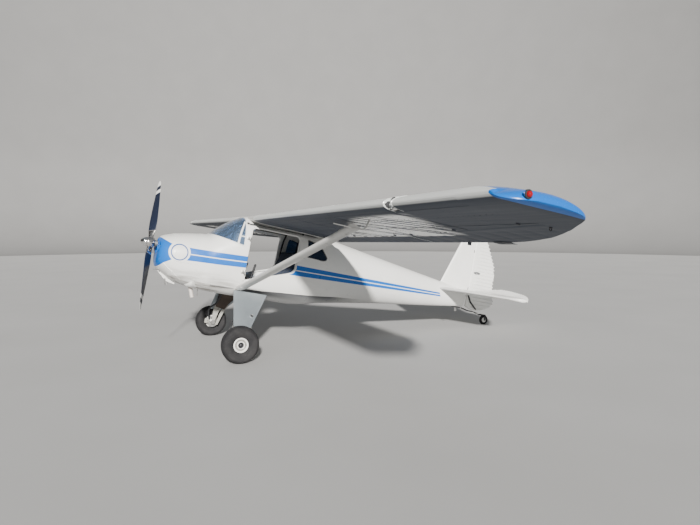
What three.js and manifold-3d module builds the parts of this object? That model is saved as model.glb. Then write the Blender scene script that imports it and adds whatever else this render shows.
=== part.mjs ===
import * as THREE from 'three';
import { mergeVertices } from 'three/addons/utils/BufferGeometryUtils.js';
import Module from 'manifold-3d';

const wasm = await Module();
wasm.setup();

// Units and directions
// Millimetres. The aeroplane is drawn in its level flying attitude about the middle of the main axle:
// X runs aft, Y to its right wing, Z up. The outer group turns it tail down onto its three wheels.

// Driving dimensions
const SPAN = 10670;
const CHORD = 1270;
const TRACK = 1950;
const TAIL_DOWN = THREE.MathUtils.degToRad(11.46);
const TYRE_RADIUS = 232;
const TYRE_WIDTH = 165;
const RIM_RADIUS = 92;
const TAIL_TYRE_RADIUS = 80;
const TAIL_TYRE_WIDTH = 52;
const TAIL_WHEEL_X = 4385;
const SEAT = 0.3;

const PROP_RADIUS = 914;
const PROP_X = -1150;
const THRUST_Z = 1023;
const HUB_BACK = 44;
const PROP_TURN = THREE.MathUtils.degToRad(-24);

const FIREWALL_X = -545;
const BOWL_BACK_X = -880;
const CABIN_BACK_X = 1250;
const CONE_BACK_X = 3880;
const WALL = 28;
const COWL_SKIN = 12;
const GLASS = 6;
const POST_FRONT_X = -57;
const HEADER_Z = 1545;

const WING_LE_X = -20;
const WING_ROOT_Y = 530;
const WING_SEAM_Y = 4906;
const TIP_CORNER_Y = 5200;
const WING_ROOT_Z = 1567;
const WING_TIP_Z = 1600;
const ROOT_INCIDENCE = THREE.MathUtils.degToRad(3.2);
const TIP_INCIDENCE = THREE.MathUtils.degToRad(0.9);
const CAMBER = 0.04;
const CAMBER_AT = 0.4;
const THICKNESS = 0.115;
const HINGE_CLEAR = 7;
// Flap and aileron: inner and outer ends with the hinge's place there, in parts of the chord
const FLAP = { from: 620, to: 2835, hingeFrom: 0.77, hingeTo: 0.77 };
const AILERON = { from: 2865, to: 4900, hingeFrom: 0.77, hingeTo: 0.55 };
const LAMP_Y = 4125;

const STRUT_FOOT = new THREE.Vector3(-10, 440, 650);
const STRUT_TOP = new THREE.Vector3(300, 2950, 1500);
const STRUT_CHORD = 105;
const STRUT_THICK = 42;

const FIN_HINGE_X = 3965;
const FIN_THICK = 62;
const STAB_Z = 1158;
const STAB_PITCH = -2.5;
const ELEVATOR_UP = 14;
const ELEVATOR_HINGE_X = 3905;
const STAB_THICK = 52;

// Fuselage sections, nose to tail: x, half width, top z, bottom z, squareness of the oval
const SECTIONS = [
  [-1062, 255, 1085, 765, 2.2],
  [-1046, 318, 1118, 728, 2.2],
  [-1005, 365, 1148, 690, 2.3],
  [-940, 402, 1172, 650, 2.4],
  [BOWL_BACK_X, 423, 1192, 612, 2.5],
  [-790, 438, 1214, 572, 2.6],
  [FIREWALL_X, 462, 1256, 530, 2.7],
  [-455, 470, 1270, 520, 2.8],
  [-345, 482, 1376, 512, 2.6],
  [-237, 493, 1466, 508, 2.6],
  [-120, 503, 1545, 506, 2.8],
  [0, 510, 1600, 505, 3.0],
  [700, 510, 1600, 506, 3.0],
  [960, 492, 1575, 527, 2.7],
  [CABIN_BACK_X, 432, 1536, 577, 2.3],
  [2230, 288, 1400, 711, 2.0],
  [3130, 160, 1276, 809, 2.0],
  [CONE_BACK_X, 58, 1175, 898, 2.0],
];

// Materials
const paint = (color, roughness = 0.35, metalness = 0.1) =>
  new THREE.MeshStandardMaterial({ color, roughness, metalness });
const WHITE = 0xeeeeea;
const SILVER = 0xb9bec2;
const BLUE = 0x1f86d6;
const DARK = 0x23262a;
const RUBBER = 0x1b1b1c;
const STEEL = 0x8d9195;
const GLAZING = 0x9fb4c4;
const TAN = 0x4a4642;

// Closed solids from rings of points
const signedVolume = (positions, index) => {
  const a = new THREE.Vector3();
  const b = new THREE.Vector3();
  const c = new THREE.Vector3();
  let sum = 0;
  for (let i = 0; i < index.length; i += 3) {
    a.fromArray(positions, index[i] * 3);
    b.fromArray(positions, index[i + 1] * 3);
    c.fromArray(positions, index[i + 2] * 3);
    sum += a.dot(b.cross(c));
  }
  return sum;
};

const loft = (rings, flat) => {
  const count = rings[0].length;
  const positions = rings.flat().flatMap((p) => p.toArray());
  const index = [];
  for (let r = 0; r + 1 < rings.length; r += 1) {
    for (let i = 0; i < count; i += 1) {
      const j = (i + 1) % count;
      const [a, b] = [r * count + i, r * count + j];
      index.push(a, b, a + count, b, b + count, a + count);
    }
  }
  const cap = (r, forward) => {
    const outline = rings[r].map((p) => new THREE.Vector2(p[flat[0]], p[flat[1]]));
    const turn = Math.sign(THREE.ShapeUtils.area(outline));
    for (const [a, b, c] of THREE.ShapeUtils.triangulateShape(outline, [])) {
      const same = Math.sign(THREE.ShapeUtils.area([outline[a], outline[b], outline[c]])) === turn;
      index.push(...(same === forward ? [a, b, c] : [a, c, b]).map((k) => k + r * count));
    }
  };
  cap(0, false);
  cap(rings.length - 1, true);
  return { positions, index };
};

const geometryOf = ({ positions, index }) => {
  const order = signedVolume(positions, index) < 0 ? index.slice().reverse() : index;
  const geometry = new THREE.BufferGeometry();
  geometry.setAttribute('position', new THREE.Float32BufferAttribute(positions, 3));
  geometry.setIndex(order);
  return geometry;
};

const toSolid = (geometry) => {
  const bare = geometry.clone();
  bare.deleteAttribute('normal');
  bare.deleteAttribute('uv');
  const merged = mergeVertices(bare, 1e-3);
  return new wasm.Manifold(new wasm.Mesh({
    numProp: 3,
    vertProperties: new Float32Array(merged.attributes.position.array),
    triVerts: new Uint32Array(merged.index.array),
  }));
};

const toGeometry = (solid) => {
  const { vertProperties, triVerts } = solid.getMesh();
  const geometry = new THREE.BufferGeometry();
  geometry.setAttribute('position', new THREE.BufferAttribute(new Float32Array(vertProperties), 3));
  geometry.setIndex(new THREE.BufferAttribute(new Uint32Array(triVerts), 1));
  return geometry;
};

const block = (x0, x1, y0, y1, z0, z1) => {
  const box = new THREE.BoxGeometry(x1 - x0, y1 - y0, z1 - z0);
  box.translate((x0 + x1) / 2, (y0 + y1) / 2, (z0 + z1) / 2);
  return toSolid(box);
};

const rod = (from, to, radius, sides = 16) => {
  const along = to.clone().sub(from);
  const cylinder = new THREE.CylinderGeometry(radius, radius, along.length(), sides);
  cylinder.translate(0, along.length() / 2, 0);
  cylinder.applyQuaternion(new THREE.Quaternion().setFromUnitVectors(
    new THREE.Vector3(0, 1, 0), along.normalize()));
  cylinder.translate(from.x, from.y, from.z);
  return toSolid(cylinder);
};

const plate = (outline, thick, place) => {
  const shape = new THREE.Shape(outline.map(([a, b]) => new THREE.Vector2(a, b)));
  const geometry = new THREE.ExtrudeGeometry(shape, { depth: thick, bevelEnabled: false });
  place(geometry);
  return toSolid(geometry);
};

const at = (x, y, z) => new THREE.Vector3(x, y, z);

// The level group holds pieces drawn in flying attitude, the parked group those drawn above the ground
const model = new THREE.Group();
const placed = new THREE.Group();
const level = new THREE.Group();
const parked = new THREE.Group();
model.add(placed);
placed.add(level, parked);
level.rotation.y = TAIL_DOWN;
level.position.z = TYRE_RADIUS;
const toParked = (solid) => solid.rotate([0, THREE.MathUtils.radToDeg(TAIL_DOWN), 0]).translate([0, 0, TYRE_RADIUS]);
const parkedPoint = (x, z) => [x * Math.cos(TAIL_DOWN) + z * Math.sin(TAIL_DOWN),
  TYRE_RADIUS - x * Math.sin(TAIL_DOWN) + z * Math.cos(TAIL_DOWN)];

const add = (name, shape, material, parent = level) => {
  const geometry = shape.isBufferGeometry ? shape : toGeometry(shape);
  const mesh = new THREE.Mesh(geometry, material);
  mesh.name = name;
  parent.add(mesh);
  return mesh;
};

// Fuselage
const RING_SIDES = 40;

const sectionAt = (x) => {
  const i = Math.max(1, SECTIONS.findIndex((s) => s[0] >= x - 1e-6));
  const [from, to] = [SECTIONS[i - 1], SECTIONS[i]];
  const t = (x - from[0]) / (to[0] - from[0]);
  return from.map((value, k) => THREE.MathUtils.lerp(value, to[k], t));
};

const ovalRing = (x, inset) => {
  const [, half, top, bottom, square] = sectionAt(x);
  const middle = (top + bottom) / 2;
  return Array.from({ length: RING_SIDES }, (_, i) => {
    const angle = (i + 0.5) * 2 * Math.PI / RING_SIDES;
    const [c, s] = [Math.cos(angle), Math.sin(angle)];
    const y = (half - inset) * Math.sign(c) * Math.abs(c) ** (2 / square);
    const z = middle + ((top - bottom) / 2 - inset) * Math.sign(s) * Math.abs(s) ** (2 / square);
    return at(x, y, z);
  });
};

const hull = (from, to, inset = 0) => {
  const inside = SECTIONS.map((s) => s[0]).filter((x) => x > from + 1 && x < to - 1);
  return toSolid(geometryOf(loft([from, ...inside, to].map((x) => ovalRing(x, inset)), ['y', 'z'])));
};

const fuselageOuter = hull(SECTIONS[0][0], CONE_BACK_X, -SEAT);

const shell = (from, to, thick) => hull(from, to).subtract(hull(from - 5, to + 5, thick));

// The cowling
const bowlHull = hull(-1062, BOWL_BACK_X);
const bowlInner = hull(-1046 + COWL_SKIN, BOWL_BACK_X + 5, COWL_SKIN + 6);
const INLET_Y = 205;
const INLET_Z = 985;
const inlets = [-1, 1].map((side) => {
  const hole = new THREE.CylinderGeometry(1, 1, 120, 20);
  hole.rotateZ(Math.PI / 2);
  hole.scale(1, 88, 62);
  hole.translate(-1050, side * INLET_Y, INLET_Z);
  return toSolid(hole);
});
const shaftHole = rod(at(-1110, 0, THRUST_Z - 30), at(-980, 0, THRUST_Z - 30), 98, 24);
const bowl = inlets.reduce((solid, hole) => solid.subtract(hole), bowlHull.subtract(bowlInner))
  .subtract(shaftHole);
add('nose_bowl', bowl, paint(BLUE));

const COWL_SPLIT_Z = 850;
const cowlShell = shell(BOWL_BACK_X + SEAT, FIREWALL_X, COWL_SKIN);
const cowlTop = cowlShell.intersect(block(-900, 0, -600, 600, COWL_SPLIT_Z, 1400));
add('cowl_upper', cowlTop, paint(WHITE));

const EXIT_WIDTH = 400;
const exitSlot = block(-640, -500, -EXIT_WIDTH / 2, EXIT_WIDTH / 2, 400, 640);
const cowlBottom = cowlShell.intersect(block(-900, 0, -600, 600, 400, COWL_SPLIT_Z - SEAT)).subtract(exitSlot);
add('cowl_lower', cowlBottom, paint(WHITE));

// Chin air scoop under the bowl
const scoopOuter = plate([[-1008, 712], [-1004, 690], [-985, 664], [-905, 585], [-880, 566], [-850, 556], [-770, 540],
  [-770, 620], [-860, 680], [-985, 740]], 150, (g) => g.rotateX(Math.PI / 2).translate(0, 75, 0));
const scoopBore = plate([[-1100, 560], [-900, 590], [-858, 575], [-858, 660], [-1100, 720]], 126,
  (g) => g.rotateX(Math.PI / 2).translate(0, 63, 0));
add('chin_scoop', scoopOuter.subtract(fuselageOuter).subtract(scoopBore), paint(WHITE));

const ENGINE = { x0: -960, x1: -640, half: 345, z0: 760, z1: 1090 };
const crankcase = block(ENGINE.x0, ENGINE.x1, -110, 110, ENGINE.z0, ENGINE.z1);
const cylinders = block(-900, ENGINE.x1 - 20, -ENGINE.half, ENGINE.half, 880, 1040);
const engineMount = [[-1, 760], [1, 760], [-1, 1050], [1, 1050]].map(([side, z]) =>
  rod(at(ENGINE.x1 - 30, side * 90, z), at(FIREWALL_X - SEAT, side * 90, z), 14, 10));
const crankshaft = rod(at(PROP_X + HUB_BACK + SEAT, 0, THRUST_Z), at(ENGINE.x0 + 10, 0, THRUST_Z), 40, 20);
add('engine_block', [...engineMount, crankshaft].reduce((s, m) => s.add(m), crankcase.add(cylinders)),
  paint(DARK, 0.6, 0.4));

const EXHAUST_RADIUS = 24;
const exhaustRun = [[-700, 880 - SEAT], [-700, 810], [-600, 640], [-580, 550], [-531, 413]].map(([x, z]) => at(x, -150, z));
const exhaust = exhaustRun.slice(1).map((to, i) => rod(exhaustRun[i], to, EXHAUST_RADIUS))
  .reduce((solid, piece) => solid.add(piece));
add('exhaust_pipe', exhaust, paint(STEEL, 0.45, 0.9));

const firewall = hull(FIREWALL_X + SEAT, FIREWALL_X + 6, WALL + 1);
add('firewall', firewall, paint(STEEL, 0.4, 0.9));

// Wing sections
const airfoilPoint = (t, upper) => {
  const half = 5 * THICKNESS * (0.2969 * Math.sqrt(t) - 0.126 * t - 0.3516 * t ** 2 + 0.2843 * t ** 3 - 0.1036 * t ** 4);
  const front = t < CAMBER_AT;
  const span = front ? CAMBER_AT : 1 - CAMBER_AT;
  const start = front ? 0 : 1 - 2 * CAMBER_AT;
  const line = CAMBER / span ** 2 * (start + 2 * CAMBER_AT * t - t * t);
  return [t, line + (upper ? half : -half)];
};

const wingAt = (y) => {
  const t = Math.max(0, Math.abs(y) - WING_ROOT_Y) / (TIP_CORNER_Y - WING_ROOT_Y);
  return {
    z: THREE.MathUtils.lerp(WING_ROOT_Z, WING_TIP_Z, t),
    incidence: THREE.MathUtils.lerp(ROOT_INCIDENCE, TIP_INCIDENCE, t),
  };
};

const onWing = (y, along, up) => {
  const { z, incidence } = wingAt(y);
  const [c, s] = [Math.cos(incidence), Math.sin(incidence)];
  return at(WING_LE_X + CHORD * (along * c + up * s), y, z + CHORD * (up * c - along * s));
};

const SKIN_STEPS = 14;
const EDGE = 0.0016;
const airfoil = () => {
  const steps = Array.from({ length: SKIN_STEPS + 1 }, (_, i) => (1 - Math.cos(Math.PI * i / SKIN_STEPS)) / 2);
  const upper = steps.slice().reverse().map((t) => airfoilPoint(t, true));
  const lower = steps.slice(1).map((t) => airfoilPoint(t, false));
  upper[0][1] += EDGE;
  lower[lower.length - 1][1] -= EDGE;
  return [...upper, ...lower];
};
const AIRFOIL = airfoil();
const wingRing = (y, scale = 1) => AIRFOIL.map(([a, b]) => onWing(y, a, b * scale));

const wingSolid = (from, to) => toSolid(geometryOf(loft([wingRing(from), wingRing(to)], ['x', 'z'])));

// Plan of the rounded trailing edge: distance out, then the edge behind the leading edge
const REAR_EDGE = [[0, 1270], [3950, 1270], [4150, 1238], [4320, 1190], [4563, 1096], [4780, 968], [4950, 850],
  [5106, 727], [5220, 640], [5290, 575], [5320, 500], [SPAN / 2, 340]];
const rearEdgeAt = (y) => {
  const i = REAR_EDGE.findIndex(([out]) => out >= y - 1e-6);
  const [from, to] = [REAR_EDGE[Math.max(0, i - 1)], REAR_EDGE[i]];
  return THREE.MathUtils.mapLinear(y, from[0], to[0], from[1], to[1]) / CHORD;
};

// The hinge line's place, height and half thickness at a distance out
const hingeAt = (y, panel) => {
  const t = THREE.MathUtils.mapLinear(y, panel.from, panel.to, panel.hingeFrom, panel.hingeTo);
  const [upper, lower] = [airfoilPoint(t, true)[1], airfoilPoint(t, false)[1]];
  return { t, middle: (upper + lower) / 2, half: (upper - lower) / 2 };
};
const hingePoint = (y, panel) => {
  const { t, middle } = hingeAt(y, panel);
  return onWing(y, t, middle);
};
const NOSE_STEPS = 6;
const noseArc = (hinge, radius) => Array.from({ length: NOSE_STEPS + 1 }, (_, i) => {
  const angle = Math.PI / 2 + Math.PI * i / NOSE_STEPS;
  return [hinge.t + radius * Math.cos(angle), hinge.middle + radius * Math.sin(angle)];
});
const END_GAP = 6;
const panelStations = (panel) => [panel.from, ...REAR_EDGE.map(([y]) => y)
  .filter((y) => y > panel.from && y < panel.to), panel.to];

const rearCut = (panel) => {
  const ring = (y) => {
    const hinge = hingeAt(y, panel);
    const arc = noseArc(hinge, (hinge.half + HINGE_CLEAR / CHORD) / Math.cos(Math.PI / NOSE_STEPS / 2));
    return [...arc, [hinge.t, -0.2], [1.1, -0.2], [1.1, 0.3], [hinge.t, 0.3]].map(([a, b]) => onWing(y, a, b));
  };
  return toSolid(geometryOf(loft([panel.from - END_GAP, ...panelStations(panel).slice(1, -1), panel.to + END_GAP]
    .map(ring), ['x', 'z'])));
};

const PIN_RADIUS = 5;
const surface = (panel) => {
  const ring = (y) => {
    const hinge = hingeAt(y, panel);
    const reach = rearEdgeAt(y);
    const parts = [0.3, 0.55, 0.8, 1];
    const rear = parts.map((part) => {
      const t = THREE.MathUtils.lerp(hinge.t, reach, part);
      const same = THREE.MathUtils.lerp(hinge.t, 1, part);
      const deep = airfoilPoint(same, true)[1] - airfoilPoint(same, false)[1];
      const scale = hinge.half * 2 / (airfoilPoint(hinge.t, true)[1] - airfoilPoint(hinge.t, false)[1]);
      const low = airfoilPoint(t, false)[1];
      return { t, low, high: low + deep * scale + 2 * EDGE };
    });
    return [...noseArc(hinge, hinge.half), ...rear.map((p) => [p.t, p.low]), ...rear.reverse().map((p) => [p.t, p.high])]
      .map(([a, b]) => onWing(y, a, b));
  };
  const along = hingePoint(panel.to, panel).sub(hingePoint(panel.from, panel));
  const reach = END_GAP - SEAT - PIN_RADIUS * Math.hypot(along.x, along.z) / along.y;
  return toSolid(geometryOf(loft(panelStations(panel).map(ring), ['x', 'z'])))
    .add(rod(hingePoint(panel.from - reach, panel), hingePoint(panel.to + reach, panel), PIN_RADIUS, 10));
};

// Cabin shell, cut for the doors and rear side windows and split at its panel joints
const DOOR = [[12, 741], [420, 870], [575, 918], [660, 952], [697, 1010], [697, 1425], [665, 1465],
  [52, 1465], [12, 1432]];
const QUARTER = [[815, 1205], [1060, 1192], [1120, 1205], [1140, 1240], [1052, 1355], [1010, 1390],
  [940, 1420], [815, 1440]];
const across = (outline, reach) => plate(outline, 2 * reach, (g) => g.rotateX(Math.PI / 2).translate(0, reach, 0));

const GLASS_LINE = [-455, 1268, -0.195];
const deckZ = (x) => GLASS_LINE[1] + GLASS_LINE[2] * (x - GLASS_LINE[0]);
const glassRegion = across([[-470, deckZ(-470)], [POST_FRONT_X, deckZ(POST_FRONT_X)], [POST_FRONT_X, 1700],
  [-470, 1700]], 700);

const TURTLE_X = 1000;
const underside = AIRFOIL.slice(SKIN_STEPS).map(([a, b]) => onWing(WING_ROOT_Y, a, b))
  .map((point) => [point.x, point.z - SEAT]);
const lowFrom = underside.findIndex(([, z]) => z < HEADER_Z);
const wingRoom = across([[-200, 1900], [-200, HEADER_Z], [underside[lowFrom - 1][0], HEADER_Z],
  ...underside.slice(lowFrom), [1300, 1900]], 700)
  .intersect(block(-300, TURTLE_X, -800, 800, 1000, 2000));
const cabin = shell(FIREWALL_X + SEAT, CABIN_BACK_X, WALL)
  .subtract(across(DOOR, 700))
  .subtract(across(QUARTER, 700))
  .subtract(glassRegion)
  .subtract(wingRoom);
const BELLY_Z = 600;
const panelBox = (side) => (side < 0
  ? block(-600, 1300, -700, -SEAT / 2, BELLY_Z + SEAT, 1700)
  : block(-600, 1300, SEAT / 2, 700, BELLY_Z + SEAT, 1700));
add('cabin_side_left', cabin.intersect(panelBox(-1)), paint(WHITE));
add('cabin_side_right', cabin.intersect(panelBox(1)), paint(WHITE));
add('cabin_belly', cabin.intersect(block(-600, 1300, -700, 700, 400, BELLY_Z)), paint(WHITE));

const glassShell = shell(-454, POST_FRONT_X, GLASS)
  .intersect(across([[-452, deckZ(-452) + SEAT], [POST_FRONT_X - SEAT, deckZ(POST_FRONT_X) + SEAT],
    [POST_FRONT_X - SEAT, 1700], [-452, 1700]], 700));
add('windshield', glassShell, paint(GLAZING, 0.05, 0));

for (const [side, name] of [[-1, 'left'], [1, 'right']]) {
  const pane = QUARTER.map(([x, z]) => [THREE.MathUtils.lerp(975, x, 0.994), THREE.MathUtils.lerp(1310, z, 0.994)]);
  const skin = hull(700, CABIN_BACK_X, 8).subtract(hull(695, CABIN_BACK_X + 5, 8 + GLASS));
  const half = side < 0 ? block(0, 1500, -700, 0, 0, 2000) : block(0, 1500, 0, 700, 0, 2000);
  add(`quarter_window_${name}`, skin.intersect(across(pane, 700)).intersect(half), paint(GLAZING, 0.05, 0));
}

// Rear of the fuselage
const cone = hull(CABIN_BACK_X + SEAT, CONE_BACK_X);
const TORQUE_TUBE = 13;
const tubeBearing = block(CONE_BACK_X - 40, ELEVATOR_HINGE_X - TORQUE_TUBE - SEAT, -20, 20, STAB_Z - 18, STAB_Z + 18);
add('tail_cone', cone.add(tubeBearing), paint(WHITE));

// Cabin roof between the wing roots
const ROOF_BACK_X = 1180;
const roof = wingSolid(-WING_ROOT_Y + SEAT, WING_ROOT_Y - SEAT)
  .intersect(block(-200, ROOF_BACK_X, -700, 700, 1400, 1900));
const header = shell(POST_FRONT_X + SEAT, 0, WALL).intersect(block(-100, 20, -700, 700, HEADER_Z + SEAT, 1900));
const turtle = hull(960, CABIN_BACK_X + 20, -SEAT);
add('cabin_roof', roof.add(header)
  .subtract(turtle.intersect(block(TURTLE_X - 1, 1300, -700, 700, 1300, 1700))), paint(SILVER));

// Wings, tips, flaps and ailerons
// Tip rings: distance out, front edge behind the leading edge, share of the wing's full depth
const TIP_RINGS = [[WING_SEAM_Y, 0, 1], [5030, 0, 0.9], [TIP_CORNER_Y, 0, 0.68], [5240, 22, 0.62], [5275, 50, 0.54],
  [5305, 90, 0.42], [5324, 130, 0.28], [SPAN / 2, 190, 0.12]];
const tipRing = ([y, frontEdge, deep]) => {
  const [front, rear] = [frontEdge / CHORD, rearEdgeAt(y)];
  const fullFrom = THREE.MathUtils.lerp(front, rear, 0.4);
  const steps = AIRFOIL.map(([a], i) => ({ along: THREE.MathUtils.lerp(front, rear, a), upper: i <= SKIN_STEPS }));
  return steps.map(({ along, upper }) => {
    const [high, low] = [airfoilPoint(along, true)[1], airfoilPoint(along, false)[1]];
    const past = Math.max(0, along - fullFrom) / (rear - fullFrom);
    const ahead = front > 0 ? Math.max(0, 1 - (along - front) / 0.12) : 0;
    const share = deep * Math.sqrt(Math.max(0.004, (1 - past ** 2) * (1 - ahead ** 2)));
    const keel = low + (high - low) * (y > TIP_CORNER_Y ? 0.3 * (0.68 - deep) : 0);
    return onWing(y, along, upper ? keel + (high - low) * share + EDGE : keel - EDGE);
  });
};

const mirrorY = (geometry) => {
  const flipped = geometry.clone();
  flipped.scale(1, -1, 1);
  const index = Array.from(flipped.index.array).reverse();
  flipped.setIndex(index);
  return flipped;
};
const sided = (solid, side) => (side < 0 ? toSolid(mirrorY(toGeometry(solid))) : solid);

const rightWing = wingSolid(WING_ROOT_Y, WING_SEAM_Y)
  .subtract(rearCut(FLAP))
  .subtract(rearCut(AILERON));
const LAMP_HALF = 57;
const LAMP_Z = 1597;
const lampBay = block(WING_LE_X - 60, WING_LE_X + 95, LAMP_Y - LAMP_HALF, LAMP_Y + LAMP_HALF, 1500, 1700);
const tip = toSolid(geometryOf(loft(TIP_RINGS.map(tipRing), ['x', 'z'])))
  .intersect(block(-200, 1400, WING_SEAM_Y + SEAT, 5500, 1300, 1900));
const flap = surface(FLAP);
const aileron = surface(AILERON);
const lamp = rod(at(WING_LE_X + 40, LAMP_Y, LAMP_Z), at(WING_LE_X + 95 - SEAT, LAMP_Y, LAMP_Z), 40, 20);

for (const [side, name] of [[-1, 'left'], [1, 'right']]) {
  const wing = side < 0 ? rightWing.subtract(lampBay) : rightWing;
  add(`wing_${name}`, sided(wing, side), paint(SILVER, 0.35, 0.6));
  add(`wing_tip_${name}`, sided(tip, side), paint(BLUE));
  add(`flap_${name}`, sided(flap, side), paint(SILVER, 0.35, 0.6));
  add(`aileron_${name}`, sided(aileron, side), paint(SILVER, 0.35, 0.6));
}
add('landing_light', sided(lamp, -1), paint(STEEL, 0.1, 0.8));

// Wing struts
const strutRing = (centre, chord, thick) => Array.from({ length: 16 }, (_, i) => {
  const angle = 2 * Math.PI * i / 16;
  return at(centre.x + chord / 2 * Math.cos(angle), centre.y, centre.z + thick / 2 * Math.sin(angle));
});
const strutTo = STRUT_TOP.clone().add(at(0, 40, 14));
const strutBar = toSolid(geometryOf(loft([
  strutRing(STRUT_FOOT.clone().add(at(0, -120, -42)), STRUT_CHORD, STRUT_THICK),
  strutRing(strutTo, STRUT_CHORD, STRUT_THICK)], ['x', 'z'])));
const tieLug = block(262, 312, 2838, 2852, 1418, 1470);
const strut = strutBar.add(tieLug)
  .subtract(toSolid(geometryOf(loft([wingRing(WING_ROOT_Y, 1.006), wingRing(WING_SEAM_Y, 1.006)], ['x', 'z']))));
for (const [side, name] of [[-1, 'left'], [1, 'right']]) {
  add(`wing_strut_${name}`, sided(strut, side).subtract(fuselageOuter), paint(SILVER, 0.3, 0.5));
}

// Main gear
const legRing = (x0, x1, y, z, thick) => {
  const half = (x1 - x0) / 2;
  return Array.from({ length: 14 }, (_, i) => {
    const angle = 2 * Math.PI * i / 14;
    return at((x0 + x1) / 2 + half * Math.cos(angle), y + thick * 0.7 * Math.sin(angle), z + thick * 0.7 * Math.sin(angle));
  });
};
const HUB_Y = TRACK / 2;
const legBar = toSolid(geometryOf(loft([
  legRing(-70, 390, 380, 636, 26),
  legRing(-82, 345, 480, 562, 26),
  legRing(-100, 96, HUB_Y - 150, 200, 24)], ['x', 'y'])));
const AXLE_RADIUS = 19;
const axle = rod(at(0, HUB_Y - 175, 0), at(0, HUB_Y + 44, 0), AXLE_RADIUS, 24);
const kneeFront = rod(at(-50, HUB_Y - 165, 215), at(0, HUB_Y - 130, 0), 17, 12);
const kneeBack = rod(at(55, HUB_Y - 165, 215), at(0, HUB_Y - 130, 0), 17, 12);
const brake = block(-120, -62, HUB_Y - 128, HUB_Y - 96, -30, 40);
const brakeArm = block(-80, 10, HUB_Y - 126, HUB_Y - 106, -16, 16);
const LEG_TOP_Z = 608;
const leg = legBar.intersect(block(-200, 500, 300, 1200, -100, LEG_TOP_Z)).add(kneeFront).add(kneeBack).add(axle).add(brake).add(brakeArm);

// The wheel and tyre, turned about Y through the hub
const lathed = (profile, sides) => {
  const geometry = new THREE.LatheGeometry(profile.map(([r, h]) => new THREE.Vector2(r, h)), sides);
  return toSolid(geometry);
};
const tyreProfile = (outer, inner, width) => {
  const half = width / 2;
  const crown = outer - half * 0.62;
  const points = [];
  for (let i = 0; i <= 8; i += 1) {
    const angle = -Math.PI / 2 + Math.PI * i / 8;
    points.push([crown + half * 0.62 * Math.cos(angle), half * Math.sin(angle)]);
  }
  return [[inner, -half * 0.62], ...points, [inner, half * 0.62], [inner, -half * 0.62]];
};
const WHEEL_SIDES = 32;
const tyre = lathed(tyreProfile(TYRE_RADIUS, RIM_RADIUS, TYRE_WIDTH), WHEEL_SIDES);
const BORE = AXLE_RADIUS + 0.6;
const rim = lathed([[BORE, -58], [RIM_RADIUS - SEAT, -50], [RIM_RADIUS - SEAT, 50], [80, 52], [66, 34], [44, 30],
  [42, 64], [34, 76], [0, 80], [0, 50], [BORE, 50], [BORE, -58]], WHEEL_SIDES);

for (const [side, name] of [[-1, 'left'], [1, 'right']]) {
  add(`gear_leg_${name}`, sided(leg, side).subtract(fuselageOuter), paint(SILVER, 0.4, 0.5));
  for (const [piece, solid, material] of [
    ['tyre', tyre, paint(RUBBER, 0.9, 0)],
    ['wheel', rim, paint(WHITE, 0.4, 0.3)]]) {
    const mesh = add(`${piece}_${name}`, solid, material, parked);
    mesh.position.set(0, side * HUB_Y, TYRE_RADIUS);
    mesh.rotation.x = side < 0 ? Math.PI : 0;
  }
}

// Propeller, its plane square to the thrust line
const bladeRing = (r, chord, thick, twist) => Array.from({ length: 14 }, (_, i) => {
  const angle = 2 * Math.PI * i / 14;
  const [u, v] = [chord / 2 * Math.cos(angle), thick / 2 * Math.sin(angle)];
  const turn = THREE.MathUtils.degToRad(twist);
  return at(v * Math.cos(turn) - u * Math.sin(turn), u * Math.cos(turn) + v * Math.sin(turn), r);
});
const BLADE = [[0, 70, 62, 60], [90, 78, 52, 52], [180, 118, 34, 42], [330, 150, 24, 32], [520, 152, 18, 25],
  [700, 132, 13, 20], [840, 104, 9, 17], [895, 70, 7, 16], [PROP_RADIUS, 24, 5, 16]];
const blade = toSolid(geometryOf(loft(BLADE.map((row) => bladeRing(...row)), ['x', 'y'])));
const otherBlade = toSolid(toGeometry(blade).rotateX(Math.PI));
const hubDisc = rod(at(-46, 0, 0), at(HUB_BACK, 0, 0), 68, 24);
const propeller = add('propeller', blade.add(otherBlade).add(hubDisc), paint(DARK, 0.4, 0.3));
propeller.position.set(PROP_X, 0, THRUST_Z);
propeller.rotation.x = PROP_TURN;

const spinner = new THREE.LatheGeometry([[0, 0], [62, 0], [60, 18], [46, 48], [24, 68], [0, 76]]
  .map(([r, h]) => new THREE.Vector2(r, h)), 24);
spinner.rotateZ(Math.PI / 2);
const spinnerMesh = add('propeller_cap', toSolid(spinner), paint(STEEL, 0.2, 0.9));
spinnerMesh.position.set(PROP_X - 46 - SEAT, 0, THRUST_Z);

// Tail surfaces
const FIN = [[3372, 1246], [3690, 2075], [3720, 2118], [3770, 2138], [FIN_HINGE_X - 34, 2148],
  [FIN_HINGE_X - 34, 1170], [3372, 1190]];
const standing = (outline, thick) => plate(outline, thick, (g) => g.rotateX(Math.PI / 2).translate(0, thick / 2, 0));
const tailOuter = hull(3100, CONE_BACK_X, -SEAT);
const RUDDER_NOSE = 25;
const finLugs = [1330, 1720, 2110].map((z) =>
  block(FIN_HINGE_X - 40, FIN_HINGE_X - RUDDER_NOSE - SEAT, -8, 8, z - 12, z + 12));
const finSolid = standing(FIN, FIN_THICK).subtract(tailOuter)
  .intersect(block(3300, FIN_HINGE_X - 34, -40, 40, 1185, 2200));
add('fin', finLugs.reduce((solid, lug) => solid.add(lug), finSolid), paint(WHITE));

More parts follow.
